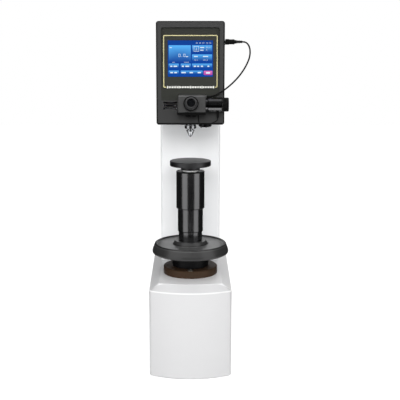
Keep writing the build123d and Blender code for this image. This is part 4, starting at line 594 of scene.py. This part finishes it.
def divisions(count, first, last, width, radius, start, reach):
    """Flat marks round the x axis: mark number k of count is turned from first to last degrees off the top,
    and lies on the radius from start along x for its reach, longer at every fifth."""
    found = []
    for number, turn in enumerate(np.radians(np.linspace(first, last, count, endpoint=False))):
        mark = plate(start, -width / 2, start + reach * (1.5 if number % 5 == 0 else 1), width / 2,
                     radius - 0.1, radius + 0.04, 0.1, 2)
        x, side, out = mark[..., 0], mark[..., 1], mark[..., 2]
        found.append(np.array(DRUM) + np.stack([x, side * np.cos(turn) - out * np.sin(turn),
                                                side * np.sin(turn) + out * np.cos(turn)], -1))
    return found


piece("drum_divisions", "measuring_knob", "black_anodised", grey_lacquer,
      *divisions(50, 0, 360, 0.28, DRUM_RADIUS - 0.1, 79.7, 1.3))
piece("drum_index", "frame", "black_anodised", grey_lacquer,
      *divisions(1, 52, 53, 0.4, DRUM_RADIUS, 73.6, 2.6))

# Ocular: a tapered ring with a fluted waist round the eye lens, its seat and its inner stop
EYE = (1.5, -136.0, 722.0)
EYE_TILT_DOWN = math.radians(12.0)
EYE_OUT = (0.0, -math.cos(EYE_TILT_DOWN), math.sin(EYE_TILT_DOWN))
piece("ocular_ring", "dioptre", "black_anodised", satin_ring,
      carried(turned(eased([(5.05, 5.05, 0), (15.2, 5.05, 0), (15.5, 5.4, 0), (15.3, 6.8, 0),
                            (14.7, 7.6, 0.8), (14.5, 11.6, 0.8), (14.3, 12.2, 0), (13.7, 13.4, 0),
                            (12.9, 18.6, 0), (12.4, 19.9, 0), (11.2, 20.05, 0), (10.3, 18.8, 0),
                            (8.9, 16.9, 0), (8.2, 16.5, 0), (8.1, 12.05, 0), (5.05, 12.05, 0)], 0.4, True),
                     192, 24, 0.8), EYE, EYE_OUT),
      wrap_rows=True, stands_for=["dioptre_ring"])
piece("ocular_seat", "frame", "black_anodised", black_grip,
      carried(turned(eased([(15.7, 1.0), (18.9, 1.0), (18.9, 4.4), (18.2, 5.4), (16.4, 5.4), (15.7, 4.6)],
                           0.5, True), 112), EYE, EYE_OUT), wrap_rows=True)
piece("ocular_stop", "dioptre", "black_anodised", black_grip,
      carried(turned(eased([(8.12, 16.7), (8.9, 17.1), (10.2, 18.9), (10.2, 19.3), (9.8, 19.3),
                            (8.12, 17.3)], 0.2, True), 112), EYE, EYE_OUT), wrap_rows=True)

# Locking knob under the ledge, fluted like the ocular
LOCK = (1.5, -118.0, 0.0)
piece("lock_grip", "lock_knob", "black_anodised", black_grip,
      carried(turned(eased([(0, 686.95, 0), (11.5, 686.95, 0), (13.2, 687.4, 0), (13.8, 688.2, 1.3),
                            (13.8, 692.6, 1.3), (13.2, 693.6, 0), (11.5, 693.95, 0), (4, 693.95, 0),
                            (4, 698.95, 0), (0, 698.95, 0)], 0.35), 160, 16, 0.8), LOCK, (0, 0, 1)),
      stands_for=["lock_knob"])

# Plug in the head's side: a knurled coupling ring, a slim body and a shoulder
PLUG = (0.0, -60.0, 873.0)
piece("plug_shell", "frame", "black_moulding", pvc_sheath,
      carried(turned(eased([(0, 88.5, 0), (6.6, 88.5, 0), (7.1, 89.1, 0), (7.1, 89.8, 0.4), (7.1, 97.2, 0.4),
                            (7.1, 97.9, 0), (6.7, 98.5, 0), (6.3, 98.8, 0), (6.3, 108.6, 0), (6.6, 109.0, 0),
                            (6.6, 111.2, 0), (5.7, 112, 0), (0, 112, 0)], 0.3), 128, 32, 0.8),
              PLUG, (1, 0, 0)),
      stands_for=["plug_body"])

# Objective: a black barrel with a retaining groove and a stopped mouth round its lens
OBJECTIVE = (39.0, 0.0, 0.0)
piece("objective_shell", "turret", "black_anodised", black_anodised,
      carried(turned(eased([(9.03, 650), (15, 650), (17.5, 652.5), (17.5, 664), (16.3, 665), (16.3, 666.5),
                            (17.5, 667.5), (17.5, 670), (7.5, 670), (7.5, 656), (9.03, 656)], 0.35, True),
                     112), OBJECTIVE, (0, 0, 1)),
      wrap_rows=True, stands_for=["objective_barrel"])

# Indenter: chuck with its nut, and the tapered ball holder
piece("chuck_shell", "indenter", "ground_steel", ground_steel,
      turned(eased([(6.03, 641), (8.4, 641), (8.4, 645), (14.5, 645), (15.5, 646), (15.5, 654), (13.5, 655),
                    (13.5, 659.7), (15.5, 660.7), (15.5, 669.7), (10.03, 669.7), (10.03, 655), (6.03, 655)],
                   0.4, True), 112),
      wrap_rows=True, stands_for=["indenter_chuck"])
piece("holder_shell", "indenter", "ground_steel", bright_chrome,
      turned(eased([(0, 624.5), (3.8, 624.5), (4.6, 625.7), (10, 637.5), (11, 638.5), (11, 640.97),
                    (6, 640.97), (6, 653), (0, 653)], 0.4), 96),
      stands_for=["ball_holder"])

# Screws of the rear cover: domed heads with a hexagonal socket, on shanks that reach into the casting
COVER_BACK = 347.0
REAR_SCREW_X = 68.5
REAR_SCREW_HEIGHTS = (65.0, 201.0, 271.0, 605.0)


def socket_screw(radius, height, across, depth, shank, length):
    """A screw round the z axis. At angle t the socket's wall stands at (across / 2) / cos(a), where a is t
    brought to within 30 degrees of the nearest flat's middle, and the dome eases to the head's radius."""
    t = np.linspace(0, 2 * np.pi, 48, endpoint=False)
    wall = across / 2 / np.cos((t + np.pi / 6) % (np.pi / 3) - np.pi / 6)
    rows = [(0 * wall, height - depth), (wall, height - depth), (wall, height - 0.15), (wall + 0.15, height),
            (0 * wall + radius * 0.8, height * 0.9), (0 * wall + radius * 0.97, height * 0.55),
            (0 * wall + radius, 0.1), (0 * wall + radius, 0), (0 * wall + shank, 0),
            (0 * wall + shank, -length), (0 * wall, -length)]
    return np.stack([np.stack([r * np.cos(t), r * np.sin(t), 0 * t + z], -1) for r, z in rows])


piece("rear_screw_set", "frame", "bright_chrome", bright_chrome,
      *[carried(socket_screw(4.2, 2.2, 2.5, 1.3, 2.0, 11.0), (side * REAR_SCREW_X, COVER_BACK, height),
                (0, 1, 0))
        for height in REAR_SCREW_HEIGHTS for side in (-1, 1)],
      stands_for=["rear_cover_screws"])


# Leads: NURBS splines on the points of each route, round in section
def lead(name, route, diameter, node, skin):
    """A round lead on a NURBS spline of order 3 through the route's control points, given in mm."""
    line = bpy.data.curves.new(name, "CURVE")
    line.dimensions = "3D"
    spline = line.splines.new("NURBS")
    spline.points.add(len(route) - 1)
    spline.points.foreach_set("co", (np.c_[np.array(route) * MM, np.ones(len(route))]).ravel())
    spline.order_u = 3
    spline.use_endpoint_u = True
    spline.resolution_u = 12
    line.bevel_depth = diameter * MM / 2
    line.bevel_resolution = 6
    line.use_fill_caps = True
    line.materials.append(skin)
    made = bpy.data.objects.new(name, line)
    bpy.context.scene.collection.objects.link(made)
    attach(made, "frame")
    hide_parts(node)


signal_route = [(132, -60, 873), (137.5, -60, 873), (144, -60.5, 870), (149, -62, 863.5),
                (151.5, -64.5, 855), (152, -68, 844), (149.5, -72, 831), (143, -77, 816.5),
                (133, -84, 800), (117, -94, 780.5), (95, -104, 761), (73, -108.5, 746),
                (55, -107, 737.5), (41, -107, 737.5)]
lamp_route = [(20, -112, 694), (20, -112, 682), (22, -110.5, 671), (24.5, -105, 662.5), (27, -96.5, 659),
              (28, -89, 658.3), (28, -84.2, 659.2), (28, -82, 661.2), (28, -82, 663.8)]
drum_route = [(69, -118, 685), (69, -118, 681.5), (66.5, -117.8, 677.5), (60, -117, 674), (52, -114, 670),
              (46, -109, 666), (42.5, -102, 661.5), (40.5, -94.5, 659), (40, -88.5, 658.4),
              (40, -84.2, 659.2), (40, -82, 661.2), (40, -82, 663.8)]
lead("signal_cable", signal_route, 4.0, "signal_lead", pvc_sheath)
lead("lamp_cable", lamp_route, 2.6, "lamp_lead", pvc_sheath)
lead("drum_cable", drum_route, 2.6, "drum_lead", pvc_sheath)


# Floor, cards and lamps
def stage_grid(name, points, skin):
    """A sheet of the studio: a grid of points in metres joined by quads, kept out of the object."""
    rows, columns = points.shape[:2]
    i, j = np.meshgrid(np.arange(rows - 1), np.arange(columns - 1), indexing="ij")
    first = i * columns + j
    corners = np.stack([first, first + 1, first + columns + 1, first + columns], -1).reshape(-1, 4)
    mesh = bpy.data.meshes.new(name)
    mesh.from_pydata(points.reshape(-1, 3).tolist(), [], corners.tolist())
    mesh.materials.append(skin)
    made = bpy.data.objects.new(name, mesh)
    bpy.context.scene.collection.objects.link(made)
    return made


def looked_at(tree):
    """1 on the rays that look, straight, off a gloss or through glass, and 0 on those that only bring light:
    the largest of the three flags."""
    path = add(tree, "ShaderNodeLightPath")
    seen = add(tree, "ShaderNodeMath", {"operation": "MAXIMUM"},
               {0: path.outputs["Is Camera Ray"], 1: path.outputs["Is Glossy Ray"]})
    return add(tree, "ShaderNodeMath", {"operation": "MAXIMUM"},
               {0: seen.outputs[0], 1: path.outputs["Is Transmission Ray"]}).outputs[0]


FLOOR_GLOW = 0.93
ROOM_LIGHT = 0.42

floor_paper = bpy.data.materials.new("white_background_paper")
floor_paper.use_nodes = True
tree = floor_paper.node_tree
tree.nodes.clear()
lift = add(tree, "ShaderNodeMath", {"operation": "MULTIPLY"}, {0: looked_at(tree), 1: FLOOR_GLOW})
glow = add(tree, "ShaderNodeEmission", None, {"Color": (1, 1, 1, 1), "Strength": lift.outputs[0]})
matt = add(tree, "ShaderNodeBsdfDiffuse", None, {"Color": linear("#7C7C7C")})
both = add(tree, "ShaderNodeAddShader", None, {0: glow.outputs[0], 1: matt.outputs[0]})
add(tree, "ShaderNodeOutputMaterial", None, {"Surface": both.outputs[0]})

u, v = np.meshgrid(np.linspace(-6, 6, 3), np.linspace(-6, 6, 3), indexing="ij")
stage_grid("floor", np.stack([u, v, np.zeros_like(u) - 0.0002], -1), floor_paper)

world = bpy.data.worlds.new("studio")
bpy.context.scene.world = world
world.use_nodes = True
tree = world.node_tree
tree.nodes.clear()
level = add(tree, "ShaderNodeMapRange", None,
            {"Value": looked_at(tree), "To Min": ROOM_LIGHT, "To Max": 1.0})
sky = add(tree, "ShaderNodeBackground", None, {"Color": (1, 1, 1, 1), "Strength": level.outputs[0]})
add(tree, "ShaderNodeOutputWorld", None, {"Surface": sky.outputs[0]})


def lamp(name, place, aim, size, power):
    """A soft rectangular lamp in metres and watts that looks at aim."""
    light = bpy.data.lights.new(name, "AREA")
    light.shape = "RECTANGLE"
    light.size, light.size_y = size
    light.energy = power
    made = bpy.data.objects.new(name, light)
    made.location = place
    made.rotation_euler = (Vector(aim) - Vector(place)).to_track_quat("-Z", "Y").to_euler()
    bpy.context.scene.collection.objects.link(made)


lamp("left_softbox", (-1.6, -1.9, 1.3), (0, 0, 0.5), (1.1, 1.7), 24)
lamp("right_softbox", (1.8, -1.7, 1.3), (0, 0, 0.5), (1.1, 1.7), 20)
lamp("front_softbox", (0.1, -2.7, 1.75), (0, 0, 0.45), (1.5, 1.0), 49)
lamp("rear_softbox", (0.7, 2.4, 1.6), (0, 0.2, 0.5), (1.4, 1.4), 26)
lamp("top_softbox", (0.0, -0.2, 2.9), (0, 0, 0.4), (1.6, 1.2), 17)


# Cards that only reflections see, as a studio sets them for the bands along polished steel
def card_paper(name, strength):
    """Paper of one even brightness."""
    made = bpy.data.materials.new(name)
    made.use_nodes = True
    made.node_tree.nodes.clear()
    glow = add(made.node_tree, "ShaderNodeEmission", None, {"Color": (1, 1, 1, 1), "Strength": strength})
    add(made.node_tree, "ShaderNodeOutputMaterial", None, {"Surface": glow.outputs[0]})
    return made


black_card = card_paper("black_card", 0.03)
white_card = card_paper("white_card", 1.0)
CARD_RADIUS = 0.6


def card(name, start, end, low, high, skin):
    """A card bent round the object: angle t from start to end degrees off the camera's side and height h, so
    x = radius sin t, y = -radius cos t and z = h."""
    t, h = np.meshgrid(np.radians(np.linspace(start, end, 25)), np.linspace(low, high, 2), indexing="ij")
    made = stage_grid(name, np.stack([CARD_RADIUS * np.sin(t), -CARD_RADIUS * np.cos(t), h], -1), skin)
    made.visible_camera = False
    made.visible_diffuse = False
    made.visible_shadow = False
    made.visible_transmission = False


card("front_card", -24, 32, 0.12, 1.25, black_card)
card("left_white_card", -68, -24, -0.1, 1.25, white_card)
card("right_white_card", 32, 74, -0.1, 1.25, white_card)
card("left_black_card", -179, -68, -0.1, 1.1, black_card)
card("right_black_card", 74, 179, -0.1, 1.1, black_card)
